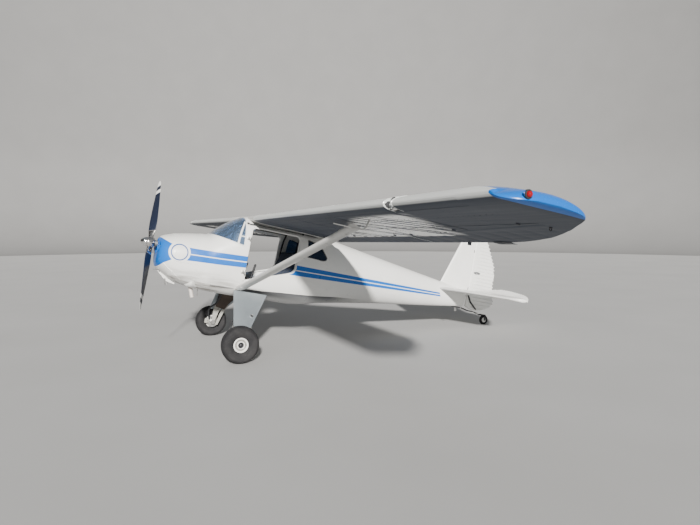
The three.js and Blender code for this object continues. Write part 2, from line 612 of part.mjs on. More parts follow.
const RUDDER = [[FIN_HINGE_X, 2152], [4060, 2148], [4140, 2118], [4175, 2060], [4400, 1660], [4418, 1560],
  [4440, 1310], [4505, 1070], [4500, 1010], [4440, 950], [4230, 872], [4100, 862], [FIN_HINGE_X, 905]];
const rudderBlade = standing(RUDDER, 34);
const rudderTube = rod(at(FIN_HINGE_X, 0, 905), at(FIN_HINGE_X, 0, 2150), RUDDER_NOSE, 16);
add('rudder', rudderBlade.add(rudderTube), paint(WHITE));

const STAB = [[3268, 0], [3282, 110], [3690, 1360], [3730, 1415], [3780, 1452], [3830, 1475],
  [ELEVATOR_HINGE_X - 30, 1482], [ELEVATOR_HINGE_X - 30, 0]];
const lying = (outline, thick, z) => plate(outline, thick, (g) => g.translate(0, 0, z - thick / 2));
const aboutHinge = (solid, degrees) => solid.translate([-ELEVATOR_HINGE_X, 0, -STAB_Z])
  .rotate([0, degrees, 0]).translate([ELEVATOR_HINGE_X, 0, STAB_Z]);
const stabHalf = aboutHinge(lying(STAB, STAB_THICK, STAB_Z).intersect(block(3200, 4000, 20, 1600, 1000, 1300)),
  STAB_PITCH);
const ELEVATOR = [[ELEVATOR_HINGE_X, 110], [3990, 125], [4405, 300], [4385, 520], [4300, 820], [4225, 1050],
  [4120, 1210], [4030, 1320], [3960, 1410], [ELEVATOR_HINGE_X, 1462]];
const ELEVATOR_NOSE = 22;
const elevatorHalf = lying(ELEVATOR, 30, STAB_Z);
const elevatorNose = rod(at(ELEVATOR_HINGE_X, 110, STAB_Z), at(ELEVATOR_HINGE_X, 1478, STAB_Z), ELEVATOR_NOSE, 14);
const torqueTube = rod(at(ELEVATOR_HINGE_X, -115, STAB_Z), at(ELEVATOR_HINGE_X, 115, STAB_Z), TORQUE_TUBE, 16);
const halves = [-1, 1].map((side) => sided(elevatorHalf.add(elevatorNose), side));
for (const [side, name] of [[-1, 'left'], [1, 'right']]) {
  add(`stabiliser_${name}`, sided(stabHalf, side).subtract(tailOuter), paint(WHITE));
}
add('elevators', aboutHinge(halves[0].add(halves[1]), -ELEVATOR_UP).add(torqueTube), paint(WHITE));

// Tail wheel on its leaf spring, drawn in the parked frame so that it castors about an upright pin
const [WHEEL_X, WHEEL_Z] = [parkedPoint(TAIL_WHEEL_X, 734)[0], TAIL_TYRE_RADIUS];
const PIVOT_X = WHEEL_X - 78;
const PAD_Z = WHEEL_Z + 96;
const SPRING_HALF = 20;
const springBar = plate([parkedPoint(3660, 862), parkedPoint(3700, 880), parkedPoint(4020, 842),
  [PIVOT_X - 40, PAD_Z + 16], [PIVOT_X + 26, PAD_Z + 16], [PIVOT_X + 26, PAD_Z], [PIVOT_X - 40, PAD_Z],
  parkedPoint(4015, 822), parkedPoint(3660, 850)], 2 * SPRING_HALF,
(g) => g.rotateX(Math.PI / 2).translate(0, SPRING_HALF, 0));
const springPad = toParked(block(3650, 3800, -22, 22, 850, 960));
const [lugX, lugZ] = parkedPoint(3760, 840);
const tailLug = block(lugX - 22, lugX + 22, -7, 7, lugZ - 42, lugZ + 14);
add('tail_spring', springBar.add(springPad).add(tailLug).subtract(toParked(tailOuter)), paint(DARK, 0.5, 0.6), parked);

const FORK_RADIUS = 24;
const TAIL_AXLE = 6;
const forkPin = rod(at(PIVOT_X, 0, PAD_Z - 10), at(PIVOT_X, 0, PAD_Z - SEAT), FORK_RADIUS, 16);
const forkCrown = block(PIVOT_X - 20, WHEEL_X + 16, -44, 44, PAD_Z - 11, PAD_Z - 5);
const forkArms = [-1, 1].map((side) => {
  const inner = side * 37;
  const outer = side * 44;
  return block(WHEEL_X - 16, WHEEL_X + 16, Math.min(inner, outer), Math.max(inner, outer),
    WHEEL_Z - 14, PAD_Z - 6);
});
const tailAxle = rod(at(WHEEL_X, -40, WHEEL_Z), at(WHEEL_X, 40, WHEEL_Z), TAIL_AXLE, 16);
add('tail_wheel_fork', [forkCrown, ...forkArms, tailAxle].reduce((solid, piece) => solid.add(piece), forkPin),
  paint(STEEL, 0.4, 0.8), parked);
const TAIL_RIM = 44;
const tailTyre = add('tail_wheel_tyre', lathed(tyreProfile(TAIL_TYRE_RADIUS, TAIL_RIM, TAIL_TYRE_WIDTH), 28),
  paint(RUBBER, 0.9, 0), parked);
const tailHubBore = TAIL_AXLE + 0.6;
const tailHub = add('tail_wheel_hub', lathed([[tailHubBore, -30], [20, -30], [TAIL_RIM - SEAT, -16],
  [TAIL_RIM - SEAT, 16], [20, 30], [tailHubBore, 30], [tailHubBore, -30]], 28), paint(WHITE, 0.4, 0.3), parked);
for (const piece of [tailTyre, tailHub]) {
  piece.position.set(WHEEL_X, 0, WHEEL_Z);
}

// Cabin furniture
const FLOOR_Z = 622;
const SEAT_Z = 700;
const floorPlate = hull(-420, 940, WALL + 1).intersect(block(-420, 940, -600, 600, FLOOR_Z - 14, FLOOR_Z));
const seatFrame = block(340, 660, -310, 310, FLOOR_Z - 1, SEAT_Z - SEAT);
add('cabin_floor', floorPlate.add(seatFrame), paint(TAN, 0.9, 0));
add('seat_cushion', plate([[300, SEAT_Z], [330, 800], [640, 770], [705, 770], [705, SEAT_Z]], 820,
  (g) => g.rotateX(Math.PI / 2).translate(0, 410, 0)), paint(DARK, 0.9, 0));
add('seat_back', plate([[650, 770 + SEAT], [700, 770 + SEAT], [860, 1235], [820, 1262], [775, 1245]], 860,
  (g) => g.rotateX(Math.PI / 2).translate(0, 430, 0)), paint(DARK, 0.9, 0));
add('instrument_panel', hull(-130, -112, WALL + 0.6).intersect(block(-200, 0, -600, 600, 930, 1200)), paint(DARK, 0.6, 0.2));
const STICK_X = 150;
const STICK_Y = 225;
const stick = (y) => rod(at(STICK_X, y, FLOOR_Z + 16), at(190, y, 880), 10, 12)
  .add(rod(at(188, y, 870), at(206, y, 985), 16, 12));
const stickShaft = rod(at(STICK_X, -STICK_Y - 22, FLOOR_Z + 16.5), at(STICK_X, STICK_Y + 22, FLOOR_Z + 16.5), 16, 12);
add('control_sticks', stickShaft.add(stick(-STICK_Y)).add(stick(STICK_Y)), paint(DARK, 0.6, 0.3));

// Navigation lights
const NAV_BACK = 150;
const NAV_Z = 1606;
for (const [side, name, color] of [[-1, 'left', 0xc8102e], [1, 'right', 0x1c9c4c]]) {
  const dome = new THREE.SphereGeometry(26, 16, 10);
  dome.translate(WING_LE_X + NAV_BACK, side * (SPAN / 2 - 8), NAV_Z);
  add(`nav_light_${name}`, toSolid(dome).subtract(sided(tip.translate([0, SEAT, 0]), side)), paint(color, 0.1, 0));
}

// Origin on the ground under the middle of the bounding box
const bounds = new THREE.Box3().setFromObject(model, true);
placed.position.set(-(bounds.min.x + bounds.max.x) / 2, -(bounds.min.y + bounds.max.y) / 2, -bounds.min.z);

export default model;
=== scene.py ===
"""A parked high wing light aircraft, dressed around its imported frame.

Pieces are built in metres in the level flying attitude about the middle of the main axle: X runs aft,
Y to the right wing, Z up. The LEVEL matrix turns them tail down onto the wheels.
"""

import logging
import math
from collections.abc import Callable, Iterable, Sequence
from dataclasses import dataclass, field
from enum import Enum

import bmesh
import bpy
import numpy as np
from mathutils import Matrix, Vector


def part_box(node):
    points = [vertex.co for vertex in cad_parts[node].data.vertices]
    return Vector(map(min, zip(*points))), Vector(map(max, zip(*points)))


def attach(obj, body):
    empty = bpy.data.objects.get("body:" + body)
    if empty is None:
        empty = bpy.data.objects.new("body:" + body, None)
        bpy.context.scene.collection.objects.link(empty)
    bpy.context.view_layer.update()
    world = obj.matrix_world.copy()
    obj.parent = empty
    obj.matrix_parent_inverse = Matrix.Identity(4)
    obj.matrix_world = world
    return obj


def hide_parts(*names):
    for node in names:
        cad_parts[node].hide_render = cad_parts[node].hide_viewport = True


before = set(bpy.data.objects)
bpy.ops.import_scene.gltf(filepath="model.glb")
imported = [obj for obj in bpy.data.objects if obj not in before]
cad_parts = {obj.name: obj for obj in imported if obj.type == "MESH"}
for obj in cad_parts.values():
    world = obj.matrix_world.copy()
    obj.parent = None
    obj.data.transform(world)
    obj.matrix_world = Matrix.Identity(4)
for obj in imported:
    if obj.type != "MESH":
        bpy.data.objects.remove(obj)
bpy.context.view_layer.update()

log = logging.getLogger("light_aircraft")

Point = tuple[float, float]
Place = Vector | tuple[float, float, float]
Ring = list[Vector]
Tone = tuple[float, float, float, float]
Socket = bpy.types.NodeSocket

TAIL_DOWN = math.radians(11.46)
ON_AXIS = 1e-6
COLOUR_A = 6
COLOUR_B = 7
COLOUR_MIXED = 2
BEVEL_FROM = math.radians(35)


def middle_of(node: str) -> Vector:
    """Middle of a CAD node's box at rest."""
    low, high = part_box(node)
    return (low + high) / 2


TYRE_RADIUS = middle_of("tyre_left").z
AXLE_X = middle_of("tyre_left").x
LEVEL = Matrix.Translation((AXLE_X, 0, TYRE_RADIUS)) @ Matrix.Rotation(TAIL_DOWN, 4, "Y")
GROUND = Matrix.Translation((AXLE_X, 0, 0))


class Side(Enum):
    """Left or right half of the aircraft, as the sign of Y."""

    LEFT = -1
    RIGHT = 1

    @property
    def word(self) -> str:
        """The side's name in lower case."""
        return self.name.lower()


def lerp(a: float, b: float, t: float) -> float:
    """Value between a and b at the share t."""
    return a + (b - a) * t


def follow(points: Sequence[Point], x: float) -> float:
    """Height of a line through points at x, straight between them."""
    return float(np.interp(x, [p[0] for p in points], [p[1] for p in points]))


def steps(start: float, stop: float, count: int) -> list[float]:
    """Evenly spaced values from start to stop."""
    return [float(v) for v in np.linspace(start, stop, count)]


def turns(count: int) -> list[float]:
    """Angles of even steps round a circle, in radians."""
    return steps(0, 2 * math.pi, count + 1)[:-1]


def fair_line(xs: Sequence[float], ys: Sequence[float]) -> Callable[[float], float]:
    """A smooth line through points that never swings past them.

    Args:
        xs: Rising positions.
        ys: Value at each position.

    Returns:
        A function that gives the value at any position.
    """
    x, y = np.array(xs, float), np.array(ys, float)
    width, slope = np.diff(x), np.diff(y) / np.diff(x)
    tangent = np.zeros(len(x))
    for i in range(1, len(x) - 1):
        if slope[i - 1] * slope[i] > 0:
            a, b = 2 * width[i] + width[i - 1], width[i] + 2 * width[i - 1]
            tangent[i] = (a + b) / (a / slope[i - 1] + b / slope[i])
    tangent[0], tangent[-1] = slope[0], slope[-1]

    def value(at: float) -> float:
        """Value of the line at a position.

        Args:
            at: Position.

        Returns:
            The value there.
        """
        i = int(np.clip(np.searchsorted(x, at) - 1, 0, len(x) - 2))
        t = min(1.0, max(0.0, (at - x[i]) / width[i]))
        start = (1 + 2 * t) * (1 - t) ** 2 * y[i] + t * (1 - t) ** 2 * width[i] * tangent[i]
        end = t * t * (3 - 2 * t) * y[i + 1] + t * t * (t - 1) * width[i] * tangent[i + 1]
        return float(start + end)

    return value


@dataclass
class Shape:
    """A mesh being built from rings, lathes, tubes and plates."""

    verts: list[Vector] = field(default_factory=list)
    faces: list[tuple[int, ...]] = field(default_factory=list)

    def loft(self, rings: Sequence[Sequence[Place]], caps: bool = True, wrap: bool = False) -> "Shape":
        """Skins closed rings of equal count.

        Args:
            rings: Rings of points in order.
            caps: Closes the first and last ring.
            wrap: Joins the last ring to the first instead.

        Returns:
            The shape itself.
        """
        start, count = len(self.verts), len(rings[0])
        for ring in rings:
            self.verts.extend(Vector(p) for p in ring)
        pairs = len(rings) if wrap else len(rings) - 1
        for r in range(pairs):
            a, b = start + r * count, start + (r + 1) % len(rings) * count
            self.faces.extend((a + i, a + (i + 1) % count, b + (i + 1) % count, b + i) for i in range(count))
        if caps and not wrap:
            self.faces.append(tuple(range(start + count - 1, start - 1, -1)))
            last = start + (len(rings) - 1) * count
            self.faces.append(tuple(range(last, last + count)))
        return self

    def lathe(self, profile: Sequence[Point], sides: int, place: Matrix = Matrix()) -> "Shape":
        """Turns a profile about the Z axis of place.

        Args:
            profile: Radius and height pairs. It starts and ends on the axis or closes on itself.
            sides: Number of steps round.
            place: Where the axis stands.

        Returns:
            The shape itself.
        """
        closed = profile[0][0] > ON_AXIS
        rows: list[list[int]] = []
        for radius, height in profile:
            if radius <= ON_AXIS:
                self.verts.append(place @ Vector((0, 0, height)))
                rows.append([len(self.verts) - 1] * sides)
                continue
            row = []
            for i in range(sides):
                angle = 2 * math.pi * i / sides
                self.verts.append(place @ Vector((radius * math.cos(angle), radius * math.sin(angle),
                                                  height)))
                row.append(len(self.verts) - 1)
            rows.append(row)
        pairs = list(zip(rows, rows[1:])) + ([(rows[-1], rows[0])] if closed else [])
        for low, high in pairs:
            for i in range(sides):
                j = (i + 1) % sides
                corners = list(dict.fromkeys((low[i], low[j], high[j], high[i])))
                if len(corners) > 2:
                    self.faces.append(tuple(corners))
        return self

    def tube(self, path: Sequence[Place], radius: float | Sequence[float], sides: int = 16,
             closed: bool = False) -> "Shape":
        """Sweeps a round section along a path.

        Args:
            path: Points of the middle line.
            radius: One radius, or one for each point.
            sides: Number of steps round.
            closed: Joins the end to the start.

        Returns:
            The shape itself.
        """
        points = [Vector(p) for p in path]
        radii = [radius] * len(points) if isinstance(radius, (int, float)) else list(radius)
        rings: list[Ring] = []
        normal: Vector | None = None
        for i, point in enumerate(points):
            before = points[i - 1] if i or closed else point
            after = points[(i + 1) % len(points)] if i + 1 < len(points) or closed else point
            along = (after - before).normalized()
            if normal is None:
                normal = along.orthogonal().normalized()
            normal = (normal - along * normal.dot(along)).normalized()
            other = along.cross(normal)
            rings.append([point + (normal * math.cos(a) + other * math.sin(a)) * radii[i]
                          for a in (2 * math.pi * k / sides for k in range(sides))])
        return self.loft(rings, caps=not closed, wrap=closed)

    def block(self, low: Sequence[float], high: Sequence[float], place: Matrix = Matrix()) -> "Shape":
        """Adds a box between two corners, as a base for bevels."""
        ring = [(low[0], low[1]), (high[0], low[1]), (high[0], high[1]), (low[0], high[1])]
        return self.loft([[place @ Vector((x, y, z)) for x, y in ring] for z in (low[2], high[2])])

    def rod(self, radius: float, low: float, high: float, sides: int, place: Matrix = Matrix()) -> "Shape":
        """Adds a closed round bar along the Z axis of place."""
        return self.lathe([(0.0, low), (radius, low), (radius, high), (0.0, high)], sides, place)

    def plate(self, outline: Sequence[Point], thick: float, place: Matrix) -> "Shape":
        """Adds a flat plate: an outline in the XY plane of place, thick each way from it."""
        return self.loft([[place @ Vector((x, y, z)) for x, y in outline] for z in (-thick / 2, thick / 2)])

    def stud(self, at: Vector, normal: Vector, radius: float, height: float, sides: int = 7) -> "Shape":
        """Adds one rivet or screw head standing on a surface.

        Args:
            at: Foot of the head.
            normal: Outward direction of the surface.
            radius: Radius of the head.
            height: Height of the head.
            sides: Number of steps round.

        Returns:
            The shape itself.
        """
        place = Matrix.Translation(at) @ normal.to_track_quat("Z", "Y").to_matrix().to_4x4()
        profile = [(radius, -height), (radius, 0.0), (radius * 0.72, height * 0.8), (0.0, height)]
        return self.lathe([(0.0, -height), *profile], sides, place)

    def add(self, other: "Shape", place: Matrix = Matrix()) -> "Shape":
        """Adds another shape's mesh, moved by place.

        Args:
            other: The shape to add.
            place: Where it goes.

        Returns:
            The shape itself.
        """
        start = len(self.verts)
        self.verts.extend(place @ v for v in other.verts)
        self.faces.extend(tuple(start + i for i in face) for face in other.faces)
        return self

    def mirrored(self, side: Side) -> "Shape":
        """The same shape for a side, reflected in Y for the left one.

        Args:
            side: The side that it is for.

        Returns:
            The shape itself on the right, a reflected copy on the left.
        """
        if side is Side.RIGHT:
            return self
        return Shape([Vector((v.x, -v.y, v.z)) for v in self.verts],
                     [tuple(reversed(f)) for f in self.faces])

    def mesh(self, name: str) -> bpy.types.Mesh:
        """A Blender mesh with its faces pointing out.

        Args:
            name: Mesh name.

        Returns:
            The mesh.
        """
        data = bpy.data.meshes.new(name)
        data.from_pydata([v[:] for v in self.verts], [], self.faces)
        work = bmesh.new()
        work.from_mesh(data)
        bmesh.ops.recalc_face_normals(work, faces=work.faces)
        work.to_mesh(data)
        work.free()
        return data


def linked(name: str, data: bpy.types.ID) -> bpy.types.Object:
    """A new object in the scene that holds the data.

    Args:
        name: Name of the object.
        data: What it holds.

    Returns:
        The object.
    """
    piece = bpy.data.objects.new(name, data)
    bpy.context.scene.collection.objects.link(piece)
    return piece


def worked(piece: bpy.types.Object) -> bpy.types.Mesh:
    """A copy of the object's mesh with its modifiers applied."""
    return bpy.data.meshes.new_from_object(piece.evaluated_get(bpy.context.evaluated_depsgraph_get()))


def carve(target: Shape, cutters: Iterable[Shape], keep: bool = False) -> Shape:
    """Cuts shapes out of a shape, or keeps what they share.

    Args:
        target: The shape to cut.
        cutters: Closed shapes to take away in turn.
        keep: Keeps the common part instead.

    Returns:
        The new shape.
    """
    body = linked("work", target.mesh("work"))
    for cutter in cutters:
        tool = linked("cutter", cutter.mesh("cutter"))
        modifier = body.modifiers.new("cut", "BOOLEAN")
        modifier.object = tool
        modifier.operation = "INTERSECT" if keep else "DIFFERENCE"
        modifier.solver = "EXACT"
        cut = worked(body)
        body.modifiers.clear()
        body.data = cut
        bpy.data.objects.remove(tool)
    made = Shape([v.co.copy() for v in body.data.vertices], [tuple(p.vertices) for p in body.data.polygons])
    bpy.data.objects.remove(body)
    return made


def dress(name: str, shape: Shape, finish: "Finish", *, body: str = "airframe",
          replaces: Sequence[str] = (), place: Matrix = LEVEL, bevel: float = 0.0, segments: int = 2,
          crease: float = 35.0) -> bpy.types.Object:
    """Makes a finished piece of the aircraft from a shape.

    Args:
        name: Piece name.
        shape: Its mesh.
        finish: Its finish.
        body: The CAD body that it rides on.
        replaces: CAD nodes that it stands for.
        place: Where its drawing frame stands.
        bevel: Width of the rounding on sharp edges, in metres.
        segments: Steps in that rounding.
        crease: Edges sharper than this angle stay sharp, in degrees.

    Returns:
        The new object.
    """
    piece = linked(name, shape.mesh(name))
    piece.data.materials.append(finish.material)
    if bevel > 0:
        rounding = piece.modifiers.new("edges", "BEVEL")
        rounding.width = bevel
        rounding.segments = segments
        rounding.limit_method = "ANGLE"
        rounding.angle_limit = BEVEL_FROM
        rounding.harden_normals = False
        piece.data = worked(piece)
        piece.modifiers.clear()
    piece.data.shade_smooth()
    piece.data.set_sharp_from_angle(angle=math.radians(crease))
    piece.matrix_world = place
    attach(piece, body)
    if replaces:
        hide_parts(*replaces)
    log.info("%s on %s, %d faces", name, body, len(piece.data.polygons))
    return piece


class Graph:
    """A material's node tree with short calls for what the finishes share."""

    def __init__(self, name: str) -> None:
        """Starts an empty material with a Principled shader.

        Args:
            name: Material name.
        """
        self.material = bpy.data.materials.new(f"{name}_finish")
        self.material.use_nodes = True
        self.tree = self.material.node_tree
        self.shader = self.tree.nodes["Principled BSDF"]
        self.place = self.tree.nodes.new("ShaderNodeTexCoord").outputs["Object"]

    def set(self, **values: float | Sequence[float]) -> None:
        """Sets sockets of the shader by name, with underscores for spaces."""
        for name, value in values.items():
            self.shader.inputs[name.replace("_", " ")].default_value = value

    def link(self, socket: Socket, name: str) -> None:
        """Links a socket to the shader's input of that name."""
        self.tree.links.new(socket, self.shader.inputs[name])

    def _feed(self, target: Socket, value: Socket | float | Sequence[float]) -> None:
        """Links or sets one input.

        Args:
            target: The input.
            value: A socket to link, or a number or colour to set.
        """
        if isinstance(value, bpy.types.NodeSocket):
            self.tree.links.new(value, target)
        else:
            target.default_value = value

    def math(self, operation: str, *values: Socket | float) -> Socket:
        """One arithmetic step.

        Args:
            operation: Name of the operation.
            *values: Its inputs in order.

        Returns:
            The result.
        """
        node = self.tree.nodes.new("ShaderNodeMath")
        node.operation = operation
        for target, value in zip(node.inputs, values):
            self._feed(target, value)
        return node.outputs[0]

    def times(self, a: Socket | float, b: Socket | float) -> Socket:
        """Product of two values."""
        return self.math("MULTIPLY", a, b)

    def plus(self, a: Socket | float, b: Socket | float) -> Socket:
        """Sum of two values."""
        return self.math("ADD", a, b)

    def minus(self, a: Socket | float, b: Socket | float) -> Socket:
        """The first value less the second."""
        return self.math("SUBTRACT", a, b)

    def axes(self) -> tuple[Socket, Socket, Socket]:
        """The drawing frame's X, Y and Z.

        Returns:
            X, Y and Z.
        """
        node = self.tree.nodes.new("ShaderNodeSeparateXYZ")
        self.tree.links.new(self.place, node.inputs[0])
        return node.outputs[0], node.outputs[1], node.outputs[2]

    def stretched(self, scale: Sequence[float]) -> Socket:
        """The drawing frame scaled unevenly, for grain and streaks.

        Args:
            scale: Factors along X, Y and Z.

        Returns:
            The scaled place.
        """
        node = self.tree.nodes.new("ShaderNodeMapping")
        self.tree.links.new(self.place, node.inputs["Vector"])
        node.inputs["Scale"].default_value = scale
        return node.outputs[0]

    def point(self, x: Socket | float, y: Socket | float, z: Socket | float) -> Socket:
        """Three numbers as one place.

        Args:
            x: Along X.
            y: Along Y.
            z: Along Z.

        Returns:
            The place.
        """
        node = self.tree.nodes.new("ShaderNodeCombineXYZ")
        for target, value in zip(node.inputs, (x, y, z)):
            self._feed(target, value)
        return node.outputs[0]

    def facing_up(self) -> Socket:
        """Z of the surface's direction in the drawing frame.

        Returns:
            1 facing up, -1 facing down.
        """
        source = self.tree.nodes.new("ShaderNodeTexCoord")
        node = self.tree.nodes.new("ShaderNodeSeparateXYZ")
        self.tree.links.new(source.outputs["Normal"], node.inputs[0])
        return node.outputs[2]

    def noise(self, scale: float, detail: float = 3.0, where: Socket | None = None,
              roughness: float = 0.55) -> Socket:
        """Soft noise from 0 to 1.

        Args:
            scale: Spots to the metre.
            detail: Octaves of finer noise.
            where: Place to look it up at, else the drawing frame.
            roughness: Strength of the finer octaves.

        Returns:
            The noise.
        """
        node = self.tree.nodes.new("ShaderNodeTexNoise")
        self.tree.links.new(where or self.place, node.inputs["Vector"])
        node.inputs["Scale"].default_value = scale
        node.inputs["Detail"].default_value = detail
        node.inputs["Roughness"].default_value = roughness
        return node.outputs[0]

    def spread(self, value: Socket, low: float, high: float, to_low: float = 0.0,
               to_high: float = 1.0) -> Socket:
        """Maps a range to another one, held at its ends.

        Args:
            value: The number to map.
            low: Start of its range.
            high: End of its range.
            to_low: Result at the start.
            to_high: Result at the end.

        Returns:
            The mapped number.
        """
        node = self.tree.nodes.new("ShaderNodeMapRange")
        self.tree.links.new(value, node.inputs[0])
        for target, number in zip(node.inputs[1:5], (low, high, to_low, to_high)):
            target.default_value = number
        return node.outputs[0]

    def line(self, value: Socket, points: Sequence[Point]) -> Socket:
        """A line of straight stretches through points, as a curve node over their own range.

        Args:
            value: Position on the line.
            points: Position and value pairs, rising.

        Returns:
            The line's value.
        """
        x0, x1 = points[0][0], points[-1][0]
        y0, y1 = min(p[1] for p in points), max(p[1] for p in points)
        node = self.tree.nodes.new("ShaderNodeFloatCurve")
        self.tree.links.new(self.spread(value, x0, x1), node.inputs["Value"])
        curve = node.mapping.curves[0]
        scaled = [((x - x0) / (x1 - x0), (y - y0) / (y1 - y0 + 1e-9)) for x, y in points]
        curve.points[0].location, curve.points[1].location = scaled[0], scaled[-1]
        for x, y in scaled[1:-1]:
            curve.points.new(x, y)
        for point in curve.points:
            point.handle_type = "VECTOR"
        node.mapping.update()
        return self.spread(node.outputs[0], 0.0, 1.0, y0, y1)

    def mix(self, share: Socket | float, a: Socket | Sequence[float], b: Socket | Sequence[float]) -> Socket:
        """Blends two colours.

        Args:
            share: Share of the second colour.
            a: First colour.
            b: Second colour.

        Returns:
            The blend.
        """
        node = self.tree.nodes.new("ShaderNodeMix")
        node.data_type = "RGBA"
        self._feed(node.inputs[0], share)
        self._feed(node.inputs[COLOUR_A], a)
        self._feed(node.inputs[COLOUR_B], b)
        return node.outputs[COLOUR_MIXED]

    def bump(self, height: Socket, strength: float, distance: float) -> None:
        """Raises the surface by a height pattern.

        Args:
            height: The pattern.
            strength: Share of the effect.
            distance: Depth in metres.
        """
        node = self.tree.nodes.new("ShaderNodeBump")
        node.inputs["Strength"].default_value = strength
        node.inputs["Distance"].default_value = distance
        self.tree.links.new(height, node.inputs["Height"])
        self.link(node.outputs[0], "Normal")

    def inside(self, value: Socket, low: Socket | float, high: Socket | float,
               soft: float = 0.0015) -> Socket:
        """1 where low < value < high, with a thin soft edge.

        Args:
            value: The number to test.
            low: Lower limit.
            high: Upper limit.
            soft: Half width of the edge.

        Returns:
            1 inside, 0 outside.
        """
        above = self.spread(self.minus(value, low), -soft, soft)
        below = self.spread(self.minus(high, value), -soft, soft)
        return self.times(above, below)


def tone(red: float, green: float, blue: float) -> Tone:
    """A linear colour with full alpha."""
    return (red, green, blue, 1.0)


WHITE = tone(0.84, 0.84, 0.82)
SKY_BLUE = tone(0.0, 0.125, 0.50)


@dataclass(frozen=True)
class Recipe:
    """What every finish has: a name, and what it lays into its material."""

    name: str

    def make(self) -> bpy.types.Material:
        """Builds the material.

        Returns:
            The material.
        """
        graph = Graph(self.name)
        self.lay(graph)
        return graph.material

    def lay(self, graph: Graph) -> None:
        """Lays the finish into the material's nodes.

        Args:
            graph: The material's nodes.
        """


@dataclass(frozen=True)
class Paint(Recipe):
    """Enamel with faint orange peel, dust and grime."""

    colour: Tone
    roughness: float = 0.32
    grime: float = 0.08
    coat: float = 0.2
    peel: float = 0.10

    def colour_of(self, graph: Graph) -> Socket | Sequence[float]:
        """The clean paint's colour over the surface."""
        return self.colour

    def lay(self, graph: Graph) -> None:
        """Lays the colour, gloss and relief.

        Args:
            graph: The material's nodes.
        """
        base = self.colour_of(graph)
        dust = graph.spread(graph.noise(2.3, 5), 0.42, 0.72)
        streaks = graph.spread(graph.noise(3.0, 6, graph.stretched((0.7, 1.0, 6.0))), 0.5, 0.78)
        dirt = graph.times(graph.math("MAXIMUM", dust, streaks), self.grime)
        graph.link(graph.mix(dirt, base, tone(0.13, 0.11, 0.085)), "Base Color")
        graph.link(graph.spread(graph.noise(14, 4), 0.3, 0.75, self.roughness - 0.07, self.roughness + 0.12),
                   "Roughness")
        graph.set(Coat_Weight=self.coat, Coat_Roughness=0.18, Specular_IOR_Level=0.35)
        graph.bump(graph.plus(graph.noise(60, 2), graph.times(graph.noise(5, 2), 2.5)), self.peel, 0.002)


